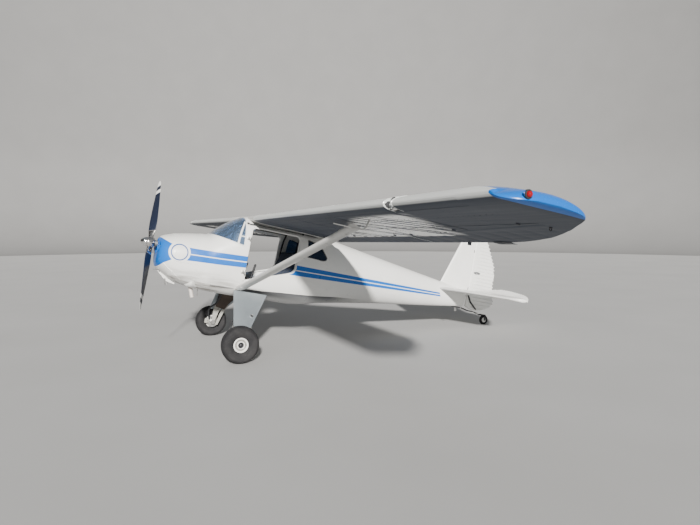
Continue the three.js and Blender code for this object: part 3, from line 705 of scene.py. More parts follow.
@dataclass(frozen=True)
class Livery(Paint):
    """White fuselage enamel with the blue nose, two blue stripes, a ringed roundel and painted shade under
    the belly edge.
    """

    stripe_colour: Tone = SKY_BLUE
    stripe_top: tuple[Point, ...] = (
        (-1.08, 1.125), (-1.045, 1.112), (-1.006, 1.092), (-0.925, 1.057), (-0.80, 1.046), (-0.66, 1.046),
        (-0.32, 1.054), (0.012, 1.068), (0.70, 1.070), (1.38, 1.066), (3.30, 1.058), (4.0, 1.058))
    stripe_low: tuple[Point, ...] = (
        (-1.08, 0.70), (-1.035, 0.742), (-0.985, 0.805), (-0.90, 0.862), (-0.80, 0.876), (-0.66, 0.886),
        (-0.32, 0.900), (0.04, 0.921), (0.72, 0.931), (1.40, 0.948), (3.35, 0.998), (4.0, 0.998))
    parting: float = 0.013
    parting_from: float = -0.70
    stripe_end: float = 3.32
    end_slant: float = 0.55
    belly_edge: tuple[Point, ...] = ((-0.08, 0.600), (0.02, 0.640), (0.14, 0.646), (0.30, 0.651),
                                     (0.48, 0.666), (0.69, 0.678), (0.92, 0.689), (1.10, 0.697),
                                     (1.26, 0.708), (1.44, 0.724), (1.90, 0.745), (2.40, 0.770))
    # Painted shade under the belly edge: a dark tone just below it, and a lighter tone lower down for
    # painted bounce light.
    belly_shade_dark: Tone = tone(0.115, 0.12, 0.13)
    belly_shade_light: Tone = tone(0.42, 0.425, 0.43)
    soot: Tone = tone(0.13, 0.095, 0.065)
    soot_share: float = 0.75
    roundel: tuple[float, float] = (-0.823, 0.969)
    roundel_radius: float = 0.130
    ring_share: tuple[float, float] = (0.69, 0.80)

    def colour_of(self, graph: Graph) -> Socket:
        """Lays the stripes and roundel over the white.

        Args:
            graph: The material's nodes.

        Returns:
            The colour.
        """
        x, _, z = graph.axes()
        top, low = graph.line(x, self.stripe_top), graph.line(x, self.stripe_low)
        band = graph.inside(z, low, top)
        middle = graph.times(graph.plus(top, low), 0.5)
        offset = graph.math("ABSOLUTE", graph.minus(z, middle))
        gap = graph.times(graph.inside(offset, -1.0, self.parting / 2),
                          graph.spread(x, self.parting_from, self.parting_from + 0.003))
        slanted = graph.plus(x, graph.times(graph.minus(z, 1.03), self.end_slant))
        shown = graph.times(band, graph.minus(1.0, gap))
        shown = graph.times(shown, graph.inside(slanted, -5.0, self.stripe_end))
        striped = graph.mix(shown, self.colour, self.stripe_colour)
        across = graph.minus(x, self.roundel[0])
        up = graph.minus(z, self.roundel[1])
        distance = graph.math("SQRT", graph.plus(graph.times(across, across),
                                                 graph.times(up, up)))
        disc = graph.inside(distance, -1.0, self.roundel_radius)
        ring = graph.inside(distance, self.ring_share[0] * self.roundel_radius,
                            self.ring_share[1] * self.roundel_radius)
        face = graph.mix(ring, self.colour, tone(0.003, 0.07, 0.30))
        return self.with_soot(graph, self.with_belly_shade(graph, graph.mix(disc, striped, face)))

    def with_soot(self, graph: Graph, painted: Socket) -> Socket:
        """Adds the brown oil and exhaust streaks that run back along the lower cowl.

        Args:
            graph: The material's nodes.
            painted: The colour beneath.

        Returns:
            The sooted colour.
        """
        x, _, z = graph.axes()
        streaks = graph.spread(graph.noise(1.0, 5, graph.stretched((2.5, 9.0, 24.0))), 0.44, 0.66)
        low = graph.times(graph.spread(z, 0.80, 0.62), graph.spread(x, -0.98, -0.84))
        low = graph.times(low, graph.spread(x, 0.10, -0.25))
        share = graph.times(graph.times(low, streaks), self.soot_share)
        return graph.mix(share, painted, self.soot)

    def with_belly_shade(self, graph: Graph, painted: Socket) -> Socket:
        """Adds painted shade under the belly edge: darkest just below it, lighter lower down, fading out
        towards the tail.

        Args:
            graph: The material's nodes.
            painted: The colour above the edge.

        Returns:
            The colour of both.
        """
        x, _, z = graph.axes()
        below = graph.minus(graph.line(x, self.belly_edge), z)
        shown = graph.times(graph.spread(below, 0.0, 0.004), graph.spread(x, 1.9, 1.35))
        shown = graph.times(shown, graph.spread(x, -0.07, -0.02))
        sheet = graph.mix(graph.spread(below, 0.015, 0.11), self.belly_shade_dark, self.belly_shade_light)
        return graph.mix(shown, painted, sheet)


@dataclass(frozen=True)
class WheelEnamel(Paint):
    """Wheel paint, white on the raised rings, with painted shade in the recessed dish, axis along Z."""

    # Painted shade for the recessed dish.
    dish_shade: Tone = tone(0.27, 0.26, 0.24)
    ring_depth: float = 0.044

    def colour_of(self, graph: Graph) -> Socket:
        """Paints shade into what lies behind the raised rings.

        Args:
            graph: The material's nodes.

        Returns:
            The colour.
        """
        z = graph.axes()[2]
        deep = graph.times(graph.spread(z, self.ring_depth, self.ring_depth - 0.010),
                           graph.spread(z, 0.0, 0.012))
        return graph.mix(deep, self.colour, self.dish_shade)


@dataclass(frozen=True)
class SheetMetal(Recipe):
    """Bare or silvered aluminium sheet: rolling grain, dull patches and soft waves."""

    colour: Tone = tone(0.50, 0.52, 0.55)
    dull: Tone = tone(0.30, 0.32, 0.35)
    roughness: float = 0.34
    metallic: float = 0.9
    wave: float = 0.0012

    def lay(self, graph: Graph) -> None:
        """Lays the colour, gloss and relief.

        Args:
            graph: The material's nodes.
        """
        patches = graph.spread(graph.noise(1.7, 5), 0.35, 0.7)
        grain = graph.noise(22, 5, graph.stretched((1.0, 0.05, 1.0)))
        graph.link(graph.mix(graph.times(patches, 0.6), self.colour, self.dull), "Base Color")
        rough = graph.plus(graph.spread(grain, 0.3, 0.7, self.roughness - 0.06, self.roughness + 0.08),
                           graph.times(patches, 0.08))
        graph.link(rough, "Roughness")
        graph.set(Metallic=self.metallic)
        graph.bump(graph.plus(graph.times(graph.noise(4.5, 2), 3.0), grain), 0.35, self.wave)


@dataclass(frozen=True)
class WingSkin(SheetMetal):
    """Wing sheet: silver above and at the nose, painted shade below with painted reflection bands, blue past
    the tip seam.
    """

    # Painted shade: below and its grain tone darken the wing's underside.
    below: Tone = tone(0.042, 0.052, 0.072)
    below_shade_grain: Tone = tone(0.075, 0.085, 0.105)
    # Painted reflection of the floor, in bright bands on the underside.
    painted_reflection: Tone = tone(1.0, 1.0, 0.98)
    above: Tone = tone(0.76, 0.78, 0.77)
    above_dull: Tone = tone(0.62, 0.64, 0.645)
    tip_colour: Tone = SKY_BLUE
    seam: float = 5.185
    cap_seam: float = 4.912
    seam_below: tuple[Point, ...] = ((-0.02, 0.005), (0.005, 0.025), (0.056, 0.064), (0.107, 0.077),
                                     (0.18, 0.082), (1.4, 0.082))

    def painted_reflections(self, graph: Graph) -> Socket:
        """Painted reflection: bright bands that run aslant over the inboard sheet, ahead of the flap.

        Args:
            graph: The material's nodes.

        Returns:
            1 in a band, 0 between bands.
        """
        x, y, _ = graph.axes()
        span = graph.math("ABSOLUTE", y)
        across = graph.minus(graph.times(x, 0.729), graph.times(span, 0.685))
        along = graph.plus(graph.times(x, 0.685), graph.times(span, 0.729))
        bands = graph.noise(1.0, 3, graph.point(graph.times(across, 15.0),
                                                graph.times(along, 0.8), 0.0))
        fine = graph.noise(1.0, 2, graph.point(graph.times(x, 60.0), graph.times(span, 3.0), 0.0))
        height = graph.plus(bands, graph.times(graph.minus(fine, 0.5), 0.22))
        inner = graph.spread(graph.plus(span, graph.times(x, 2.47)), 3.50, 3.80)
        outer = graph.spread(graph.plus(span, graph.times(x, 0.45)), 4.22, 4.02)
        reach = graph.times(graph.times(inner, outer), graph.times(graph.spread(x, 0.12, 0.20),
                                                                   graph.spread(x, 0.975, 0.955)))
        return graph.times(graph.spread(height, 0.44, 0.465), reach)

    def lay(self, graph: Graph) -> None:
        """Lays the colour, gloss and relief.

        Args:
            graph: The material's nodes.
        """
        x, y, _ = graph.axes()
        span = graph.math("ABSOLUTE", y)
        # Painted shade: the downward face takes the dark below tone in place of lighting.
        under = graph.times(graph.spread(graph.facing_up(), -0.55, -0.85), graph.spread(x, -0.010, 0.002))
        # Painted reflection bands on the underside.
        reflection_bands = self.painted_reflections(graph)
        patches = graph.spread(graph.noise(1.7, 5), 0.35, 0.7)
        grain = graph.noise(22, 5, graph.stretched((1.0, 0.05, 1.0)))
        upper = graph.mix(graph.times(patches, 0.5), self.above, self.above_dull)
        lower = graph.mix(graph.times(grain, 0.6), self.below, self.below_shade_grain)
        sheet = graph.mix(under, upper, graph.mix(reflection_bands, lower, self.painted_reflection))
        below = graph.spread(graph.facing_up(), -0.30, -0.60)
        limit = graph.plus(graph.times(below, graph.line(x, self.seam_below)), self.seam)
        above = graph.times(graph.spread(graph.facing_up(), 0.2, 0.5), graph.spread(x, 0.03, 0.13))
        limit = graph.minus(limit, graph.times(above, self.seam - self.cap_seam))
        blue = graph.inside(span, limit, 9.0)
        graph.link(graph.mix(blue, sheet, self.tip_colour), "Base Color")
        plain = graph.minus(1.0, blue)
        metal = graph.mix(under, tone(0.30, 0.30, 0.30),
                          graph.mix(reflection_bands, tone(0, 0, 0), tone(0.30, 0.30, 0.30)))
        graph.link(graph.times(plain, metal), "Metallic")
        rough = graph.spread(grain, 0.3, 0.7, self.roughness - 0.04, self.roughness + 0.10)
        rough = graph.plus(rough, graph.times(under, graph.times(0.28, graph.minus(1.0, reflection_bands))))
        graph.link(graph.times(rough, graph.spread(blue, 0.0, 1.0, 1.0, 0.7)), "Roughness")
        graph.set(Specular_IOR_Level=0.3)
        waves = graph.plus(graph.times(graph.noise(4.5, 2), 3.0), grain)
        graph.bump(graph.times(waves, plain), 0.25, self.wave)


@dataclass(frozen=True)
class HardMetal(Recipe):
    """Steel or polished alloy for fittings, with fine scratches."""

    colour: Tone
    roughness: float
    metallic: float = 1.0
    stain: Tone = tone(0.16, 0.12, 0.09)
    stain_share: float = 0.3

    def lay(self, graph: Graph) -> None:
        """Lays the colour, gloss and relief.

        Args:
            graph: The material's nodes.
        """
        spots = graph.times(graph.spread(graph.noise(26, 6), 0.5, 0.75), self.stain_share)
        graph.link(graph.mix(spots, self.colour, self.stain), "Base Color")
        scratches = graph.noise(240, 2, graph.stretched((1.0, 0.2, 1.0)))
        graph.link(graph.spread(scratches, 0.3, 0.7, max(0.03, self.roughness - 0.07), self.roughness + 0.1),
                   "Roughness")
        graph.set(Metallic=self.metallic)
        graph.bump(graph.noise(90, 4), 0.12, 0.0008)


@dataclass(frozen=True)
class Rubber(Recipe):
    """Tyre rubber, dusty on its crown."""

    colour: Tone = tone(0.014, 0.014, 0.016)
    dust: Tone = tone(0.060, 0.058, 0.058)

    def lay(self, graph: Graph) -> None:
        """Lays the colour, gloss and relief.

        Args:
            graph: The material's nodes.
        """
        wall = graph.spread(graph.math("ABSOLUTE", graph.axes()[2]), 0.050, 0.074, 0.0, 0.16)
        powder = graph.plus(graph.times(graph.spread(graph.noise(11, 6), 0.4, 0.75), 0.28), wall)
        graph.link(graph.mix(powder, self.colour, self.dust), "Base Color")
        graph.link(graph.spread(graph.noise(40, 4), 0.3, 0.7, 0.62, 0.9), "Roughness")
        graph.set(Specular_IOR_Level=0.25)
        graph.bump(graph.noise(210, 5), 0.3, 0.0009)


@dataclass(frozen=True)
class Cloth(Recipe):
    """Woven seat cloth with a soft sheen and worn patches."""

    colour: Tone
    worn: Tone
    threads: float = 520.0

    def lay(self, graph: Graph) -> None:
        """Lays the colour, gloss and relief.

        Args:
            graph: The material's nodes.
        """
        x, y, z = graph.axes()
        warp = graph.math("SINE", graph.times(graph.plus(x, z), self.threads))
        weft = graph.math("SINE", graph.times(y, self.threads))
        weave = graph.times(warp, weft)
        rubbed = graph.times(graph.spread(graph.noise(7, 5), 0.42, 0.72), 0.5)
        shade = graph.times(graph.spread(weave, -1.0, 1.0), 0.25)
        graph.link(graph.mix(graph.plus(rubbed, shade), self.colour, self.worn), "Base Color")
        graph.link(graph.spread(weave, -1.0, 1.0, 0.78, 0.94), "Roughness")
        graph.set(Sheen_Weight=0.08, Sheen_Roughness=0.5)
        graph.bump(graph.plus(weave, graph.noise(900, 2)), 0.35, 0.0006)


@dataclass(frozen=True)
class Moulded(Recipe):
    """Moulded plastic or crackle enamel."""

    colour: Tone
    roughness: float = 0.55
    pattern: float = 320.0

    def lay(self, graph: Graph) -> None:
        """Lays the colour, gloss and relief.

        Args:
            graph: The material's nodes.
        """
        wear = graph.times(graph.spread(graph.noise(18, 5), 0.5, 0.8), 0.3)
        graph.link(graph.mix(wear, self.colour, tone(0.13, 0.13, 0.135)), "Base Color")
        graph.link(graph.spread(graph.noise(50, 3), 0.3, 0.7, self.roughness - 0.08, self.roughness + 0.1),
                   "Roughness")
        graph.bump(graph.noise(self.pattern, 3), 0.25, 0.0005)


@dataclass(frozen=True)
class Glazing(Recipe):
    """Acrylic window sheet, tinted in its body, with faint rub marks."""

    tint: Tone
    clear: float = 0.9
    roughness: float = 0.02

    def lay(self, graph: Graph) -> None:
        """Lays the colour, gloss and relief.

        Args:
            graph: The material's nodes.
        """
        haze = graph.spread(graph.noise(9, 5, graph.stretched((1.0, 1.0, 3.0))), 0.5, 0.85)
        graph.link(graph.mix(graph.times(haze, 0.1), self.tint, tone(0.75, 0.78, 0.80)), "Base Color")
        graph.link(graph.plus(graph.times(haze, 0.05), self.roughness), "Roughness")
        graph.set(Transmission_Weight=self.clear, IOR=1.30)
        graph.bump(graph.noise(2, 1), 0.02, 0.001)


@dataclass(frozen=True)
class Lens(Recipe):
    """Coloured or clear lamp glass with moulded ribs."""

    colour: Tone
    clear: float = 0.6

    def lay(self, graph: Graph) -> None:
        """Lays the colour, gloss and relief.

        Args:
            graph: The material's nodes.
        """
        x, _, z = graph.axes()
        ribs = graph.math("SINE", graph.times(graph.plus(x, z), 700.0))
        graph.link(graph.mix(graph.spread(graph.noise(60, 3), 0.4, 0.8, 0.0, 0.3), self.colour,
                             tone(*(c * 0.6 for c in self.colour[:3]))), "Base Color")
        graph.link(graph.spread(graph.noise(80, 2), 0.3, 0.7, 0.05, 0.12), "Roughness")
        graph.set(Transmission_Weight=self.clear, IOR=1.45)
        graph.bump(ribs, 0.15, 0.0006)


@dataclass(frozen=True)
class BladePaint(Recipe):
    """Dark propeller enamel with white tip bands and a polished root, set by the distance from the hub."""

    bands: tuple[tuple[float, float], ...] = ((0.725, 0.775), (0.835, 0.93))
    polished_to: float = 0.165

    def lay(self, graph: Graph) -> None:
        """Lays the colour, gloss and relief.

        Args:
            graph: The material's nodes.
        """
        _, y, z = graph.axes()
        reach = graph.math("SQRT", graph.plus(graph.times(y, y), graph.times(z, z)))
        white = graph.math("MAXIMUM", graph.inside(reach, *self.bands[0]),
                           graph.inside(reach, *self.bands[1]))
        chips = graph.spread(graph.noise(55, 6), 0.62, 0.68)
        dark = graph.mix(graph.times(chips, 0.35), tone(0.012, 0.017, 0.035), tone(0.10, 0.11, 0.13))
        bare = graph.inside(reach, -1.0, self.polished_to, 0.004)
        painted = graph.mix(white, dark, tone(0.78, 0.78, 0.76))
        graph.link(graph.mix(bare, painted, tone(0.72, 0.69, 0.67)), "Base Color")
        graph.link(bare, "Metallic")
        graph.link(graph.minus(graph.spread(graph.noise(30, 4), 0.3, 0.7, 0.3, 0.45),
                               graph.times(bare, 0.15)), "Roughness")
        graph.bump(graph.noise(120, 3), 0.1, 0.0008)


@dataclass(frozen=True)
class StageFloor(Recipe):
    """Pale seamless studio surface."""

    low: float
    high: float

    def lay(self, graph: Graph) -> None:
        """Lays the colour, gloss and relief.

        Args:
            graph: The material's nodes.
        """
        graph.link(graph.mix(graph.spread(graph.noise(0.5, 3), 0.3, 0.7), tone(self.low, self.low, self.low),
                             tone(self.high, self.high, self.high)), "Base Color")
        graph.set(Roughness=0.85)
        graph.bump(graph.noise(30, 3), 0.03, 0.002)


class Finish(Enum):
    """Every finish on the aircraft, built once."""

    LIVERY = Livery("fuselage_livery", WHITE, coat=0.08)
    WHITE_PAINT = Paint("tail_white", WHITE)
    BLUE_PAINT = Paint("tip_blue", SKY_BLUE, roughness=0.25, grime=0.05, coat=0.3, peel=0.02)
    SILVER_PAINT = Paint("silver_enamel", tone(0.60, 0.60, 0.585), roughness=0.34, grime=0.15)
    SILVER_SKIN = WingSkin("silver_skin")
    GEAR_SILVER = Paint("gear_silver", tone(0.36, 0.355, 0.33), roughness=0.42, grime=0.35)
    FAIRING_SHEET = SheetMetal("fairing_sheet", tone(0.36, 0.40, 0.43), tone(0.24, 0.28, 0.31), 0.40, 0.6)
    # Painted shade: a dark tone for the fittings and rivets under the wing, matching its shaded underside.
    UNDERSIDE_SHADE = Paint("underside_shade", tone(0.050, 0.060, 0.080), roughness=0.6, grime=0.3, coat=0.0)
    # Dark brown for stains, darkened further as painted shade on the gear's inner web.
    STAINED_SHADED_SHEET = SheetMetal("stained_shaded_sheet", tone(0.10, 0.075, 0.06), tone(0.045, 0.035, 0.03), 0.55, 0.6)
    ENGINE_GREY = HardMetal("engine_grey", tone(0.20, 0.21, 0.22), 0.5, 0.6)
    EXHAUST = HardMetal("exhaust_pipe_steel", tone(0.78, 0.72, 0.68), 0.45, 0.4, tone(0.40, 0.28, 0.20),
                        0.35)
    BARE_STEEL = HardMetal("bare_steel", tone(0.55, 0.55, 0.54), 0.35)
    DARK_STEEL = HardMetal("dark_steel", tone(0.035, 0.035, 0.04), 0.45, 0.5)
    POLISHED = HardMetal("polished_dome", tone(0.82, 0.82, 0.81), 0.12, 1.0, tone(0.5, 0.5, 0.5), 0.2)
    BLADE = BladePaint("blade_enamel")
    WINDOW = Glazing("window_acrylic", tone(0.30, 0.44, 0.66), 0.88)
    DARK_WINDOW = Glazing("rear_window_acrylic", tone(0.02, 0.045, 0.10), 0.55, 0.04)
    LAMP_GLASS = Lens("lamp_glass", tone(0.9, 0.92, 0.95), 0.92)
    RED_LENS = Lens("red_lens", tone(0.42, 0.006, 0.012), 0.35)
    GREEN_LENS = Lens("green_lens", tone(0.01, 0.35, 0.10), 0.45)
    TYRE = Rubber("tyre_rubber")
    WHEEL_DISC = WheelEnamel("wheel_disc_enamel", tone(0.80, 0.79, 0.77), roughness=0.4, grime=0.2, coat=0.1)
    LINING = Moulded("cabin_lining", tone(0.032, 0.036, 0.046), 0.8, 150.0)
    SEAT_CLOTH = Cloth("seat_cloth", tone(0.012, 0.028, 0.070), tone(0.030, 0.052, 0.110))
    PANEL = Moulded("panel_black", tone(0.02, 0.021, 0.024), 0.6, 420.0)
    SEALANT = Moulded("seam_sealant", tone(0.16, 0.16, 0.16), 0.7, 200.0)

    @property
    def material(self) -> bpy.types.Material:
        """The finish's material, made on first use."""
        return bpy.data.materials.get(f"{self.value.name}_finish") or self.value.make()


@dataclass
class Aerofoil:
    """A cambered wing section of unit chord."""

    camber: float = 0.04
    camber_at: float = 0.4
    thickness: float = 0.115

    def surface(self, t: float, upper: bool) -> float:
        """Height of the upper or lower surface at the share t of the chord.

        Args:
            t: Share of the chord from the nose.
            upper: Takes the upper surface.

        Returns:
            Height in chords.
        """
        half = 5 * self.thickness * (0.2969 * math.sqrt(max(t, 0.0)) - 0.126 * t - 0.3516 * t ** 2
                                     + 0.2843 * t ** 3 - 0.1036 * t ** 4)
        front = t < self.camber_at
        span = self.camber_at if front else 1 - self.camber_at
        start = 0.0 if front else 1 - 2 * self.camber_at
        mean = self.camber / span ** 2 * (start + 2 * self.camber_at * t - t * t)
        return mean + (half if upper else -half)


@dataclass
class Fuselage:
    """Cowling, cabin skin, tail cone and their glass, lofted through oval sections."""

    front_x: float = -1.062
    cowl_middle_z: float = 0.9
    bowl_back_x: float = -0.880
    firewall_x: float = -0.545
    cabin_back_x: float = 1.250
    cone_back_x: float = 3.880
    cowl_split_z: float = 0.850
    post_front_x: float = -0.057
    header_z: float = 1.545
    sections: tuple[tuple[float, float, float, float, float], ...] = (
        (-1.062, 0.255, 1.085, 0.765, 2.2),
        (-1.046, 0.318, 1.118, 0.728, 2.2),
        (-1.005, 0.365, 1.148, 0.690, 2.3),
        (-0.940, 0.402, 1.172, 0.650, 2.4),
        (-0.880, 0.423, 1.192, 0.612, 2.5),
        (-0.790, 0.438, 1.214, 0.572, 2.6),
        (-0.545, 0.462, 1.256, 0.530, 2.7),
        (-0.455, 0.470, 1.270, 0.520, 2.8),
        (-0.345, 0.482, 1.376, 0.512, 2.6),
        (-0.237, 0.493, 1.466, 0.508, 2.6),
        (-0.120, 0.503, 1.545, 0.506, 2.8),
        (0.000, 0.510, 1.600, 0.505, 3.0),
        (0.700, 0.510, 1.600, 0.506, 3.0),
        (0.960, 0.492, 1.575, 0.527, 2.7),
        (1.250, 0.432, 1.536, 0.577, 2.3),
        (2.230, 0.288, 1.400, 0.711, 2.0),
        (3.130, 0.160, 1.276, 0.809, 2.0),
        (3.880, 0.058, 1.175, 0.898, 2.0))
    door: tuple[Point, ...] = (
        (0.012, 0.741), (0.420, 0.870), (0.575, 0.918), (0.660, 0.952), (0.697, 1.010), (0.697, 1.425),
        (0.665, 1.465), (0.052, 1.465), (0.012, 1.432))
    quarter: tuple[Point, ...] = (
        (0.815, 1.205), (1.060, 1.192), (1.120, 1.205), (1.140, 1.240), (1.052, 1.355), (1.010, 1.390),
        (0.940, 1.420), (0.815, 1.440))
    glass_foot: tuple[float, float, float] = (-0.455, 1.268, -0.195)
    ring_sides: int = 96
    skin: float = 0.028
    cowl_skin: float = 0.012

    def __post_init__(self) -> None:
        """Draws a fair line through each column of the sections."""
        xs = [s[0] for s in self.sections]
        self.lines = [fair_line(xs, [s[k] for s in self.sections]) for k in (1, 2, 3, 4)]

    def at(self, x: float, angle: float, inset: float = 0.0) -> Vector:
        """Point on the oval at x, the angle measured from the right side upwards.

        Args:
            x: Station.
            angle: Angle round the oval, in radians.
            inset: Distance inside the skin.

        Returns:
            The point.
        """
        half, top, low, square = (line(x) for line in self.lines)
        c, s = math.cos(angle), math.sin(angle)
        y = (half - inset) * math.copysign(abs(c) ** (2 / square), c)
        z = (top + low) / 2 + ((top - low) / 2 - inset) * math.copysign(abs(s) ** (2 / square), s)
        return Vector((x, y, z))

    def ring(self, x: float, inset: float = 0.0) -> Ring:
        """The whole oval at x."""
        return [self.at(x, (i + 0.5) * 2 * math.pi / self.ring_sides, inset) for i in range(self.ring_sides)]

    def side_y(self, x: float, z: float, inset: float = 0.0) -> float:
        """Half width of the hull at x and z.

        Args:
            x: Station.
            z: Height.
            inset: Distance inside the skin.

        Returns:
            Distance from the middle plane.
        """
        half, top, low, square = (line(x) for line in self.lines)
        reach = (top - low) / 2 - inset
        share = min(1.0, abs(z - (top + low) / 2) / reach)
        return (half - inset) * (1 - share ** square) ** (1 / square)

    def normal(self, x: float, z: float, side: Side) -> Vector:
        """Outward direction of the hull's side at x and z.

        Args:
            x: Station.
            z: Height.
            side: Left or right.

        Returns:
            The direction, one unit long.
        """
        step = 0.004
        y = self.side_y(x, z)
        along = Vector((step, self.side_y(x + step, z) - y, 0))
        up = Vector((0, self.side_y(x, z + step) - y, step))
        out = up.cross(along).normalized()
        out = out if out.y > 0 else -out
        return Vector((out.x, out.y * side.value, out.z))

    def stations(self, start: float, stop: float, pitch: float = 0.045) -> list[float]:
        """Ring places between two ends."""
        return steps(start, stop, max(2, round((stop - start) / pitch) + 1))

    def shell(self, start: float, stop: float, thick: float) -> Shape:
        """A tube of skin, open at both ends.

        Args:
            start: Front end.
            stop: Rear end.
            thick: Thickness of the skin.

        Returns:
            The tube.
        """
        xs = self.stations(start, stop)
        outer = [self.ring(x) for x in xs]
        inner = [self.ring(x, thick) for x in reversed(xs)]
        return Shape().loft(outer + inner, caps=False, wrap=True)

    def solid(self, start: float, stop: float, inset: float = 0.0) -> Shape:
        """The hull between two ends, closed."""
        return Shape().loft([self.ring(x, inset) for x in self.stations(start, stop)])

    def across(self, outline: Sequence[Point], near: float = -0.7, far: float = 0.7) -> Shape:
        """A side outline pushed through from near to far in Y."""
        return Shape().loft([[(x, y, z) for x, z in outline] for y in (near, far)])

    def deck_z(self, x: float) -> float:
        """Height of the windshield's foot at x."""
        start, height, slope = self.glass_foot
        return height + slope * (x - start)

    def glass_region(self, margin: float = 0.0) -> Shape:
        """The room that the windshield takes.

        Args:
            margin: Gap to leave round the glass.

        Returns:
            The room.
        """
        front, back = -0.47 + margin, self.post_front_x - margin
        return self.across([(front, self.deck_z(front) + margin), (back, self.deck_z(back) + margin),
                            (back, 1.7), (front, 1.7)])

    def wing_room(self) -> Shape:
        """The room of the wing's root and the roof over the cabin.

        Returns:
            The room.
        """
        foil, wing = Aerofoil(), Wing()
        lower = [wing.at(wing.root_y, t, foil.surface(t, False)) for t in steps(0.0, 1.0, 40)]
        edge = [(p.x, p.z - 0.0005) for p in lower if p.z < self.header_z]
        outline = [(-0.2, 1.9), (-0.2, self.header_z), (edge[0][0], self.header_z), *edge, (1.3, 1.9)]
        return carve(self.across(outline), [Shape().block((-0.3, -0.8, 1.0), (1.0, 0.8, 2.0))], keep=True)

    def seam(self, points: Sequence[tuple[float, float]], side: Side, width: float = 0.0022) -> Shape:
        """A thin raised line on the hull's side through X and Z pairs.

        Args:
            points: X and Z of each corner.
            side: Left or right.
            width: Radius of the line.

        Returns:
            The line.
        """
        path = []
        for (x0, z0), (x1, z1) in zip(points, points[1:]):
            count = max(2, round(math.hypot(x1 - x0, z1 - z0) / 0.03))
            path += [(lerp(x0, x1, k / count), lerp(z0, z1, k / count)) for k in range(count)]
        path.append(points[-1])
        return Shape().tube([(x, side.value * self.side_y(x, z), z) for x, z in path], width, 6)

    def rivets(self, start: Point, stop: Point, side: Side, pitch: float = 0.04,
               radius: float = 0.0042) -> Shape:
        """A row of rivets on the hull's side from one X and Z pair to another.

        Args:
            start: First rivet.
            stop: Last rivet.
            side: Left or right.
            pitch: Distance between rivets.
            radius: Radius of a head.

        Returns:
            The row.
        """
        shape = Shape()
        count = max(1, round(math.hypot(stop[0] - start[0], stop[1] - start[1]) / pitch))
        for k in range(count + 1):
            x, z = lerp(start[0], stop[0], k / count), lerp(start[1], stop[1], k / count)
            shape.stud(Vector((x, side.value * self.side_y(x, z), z)),
                       self.normal(x, z, side), radius, 0.0014)
        return shape

    def cowl_screw(self, shape: Shape, x: float, angle: float) -> None:
        """Adds a screw head to a part of the cowl.

        Args:
            shape: That part.
            x: Station.
            angle: Angle round the oval, in radians.
        """
        spot = self.at(x, angle)
        shape.stud(spot, (spot - Vector((x, 0, self.cowl_middle_z))).normalized(), 0.006, 0.002, 10)

    def hoop(self, x: float, width: float, thick: float, low_angle: float = 0.0,
             high_angle: float = 360.0) -> Shape:
        """A flat strap round the hull at x.

        Args:
            x: Middle of the strap.
            width: Its width.
            thick: How far it stands proud.
            low_angle: Where it starts, in degrees.
            high_angle: Where it ends, in degrees.

        Returns:
            The strap.
        """
        count = max(8, round(abs(high_angle - low_angle) / 5))
        angles = [math.radians(a) for a in steps(low_angle, high_angle, count + 1)]
        full = abs(high_angle - low_angle) >= 360
        rings = []
        for a in (angles[:-1] if full else angles):
            rings.append([self.at(x - width / 2, a, 0.001), self.at(x - width / 2, a, -thick),
                          self.at(x + width / 2, a, -thick), self.at(x + width / 2, a, 0.001)])
        return Shape().loft(rings, caps=not full, wrap=full)

    def inlet_path(self, side: Side, grow: float = 0.0) -> list[Vector]:
        """Oval round one cooling inlet on the front of the bowl."""
        return [Vector((self.front_x, side.value * 0.205 + (0.088 + grow) * math.cos(a),
                        0.985 + (0.062 + grow) * math.sin(a))) for a in turns(40)]

    def make_bowl(self) -> None:
        """The blue nose bowl with its inlets, lips and shaft hole."""
        xs = [-1.062, -1.059, -1.053, -1.046, -1.036, -1.024, -1.005, -0.98, -0.955, -0.93, -0.905, -0.880]
        outer = [self.ring(x) for x in xs]
        inner = [self.ring(x, self.cowl_skin) for x in reversed(xs[4:])]
        bowl = Shape().loft([*outer, *inner], caps=False)
        count = self.ring_sides
        last = (len(xs) + len(inner) - 1) * count
        bowl.faces.append(tuple(range(count - 1, -1, -1)))
        bowl.faces.append(tuple(range(last, last + count)))
        holes = []
        for side in Side:
            path = self.inlet_path(side)
            holes.append(Shape().loft([[(x, p.y, p.z) for p in path] for x in (-1.12, -0.96)]))
        shaft = Matrix.Translation((-1.2, 0, 0.993)) @ Matrix.Rotation(math.pi / 2, 4, "Y")
        holes.append(Shape().rod(0.098, 0.0, 0.3, 48, shaft))
        bowl = carve(bowl, holes)
        for side in Side:
            bowl.tube(self.inlet_path(side, 0.002), 0.007, 10, closed=True)
        rim = [Vector((self.front_x + 0.001, 0.100 * math.cos(a), 0.993 + 0.100 * math.sin(a)))
               for a in turns(48)]
        bowl.tube(rim, 0.005, 8, closed=True)
        for angle in steps(18, 342, 19):
            self.cowl_screw(bowl, -0.893, math.radians(angle))
        dress("nose_bowl_skin", bowl, Finish.LIVERY, replaces=["nose_bowl"])

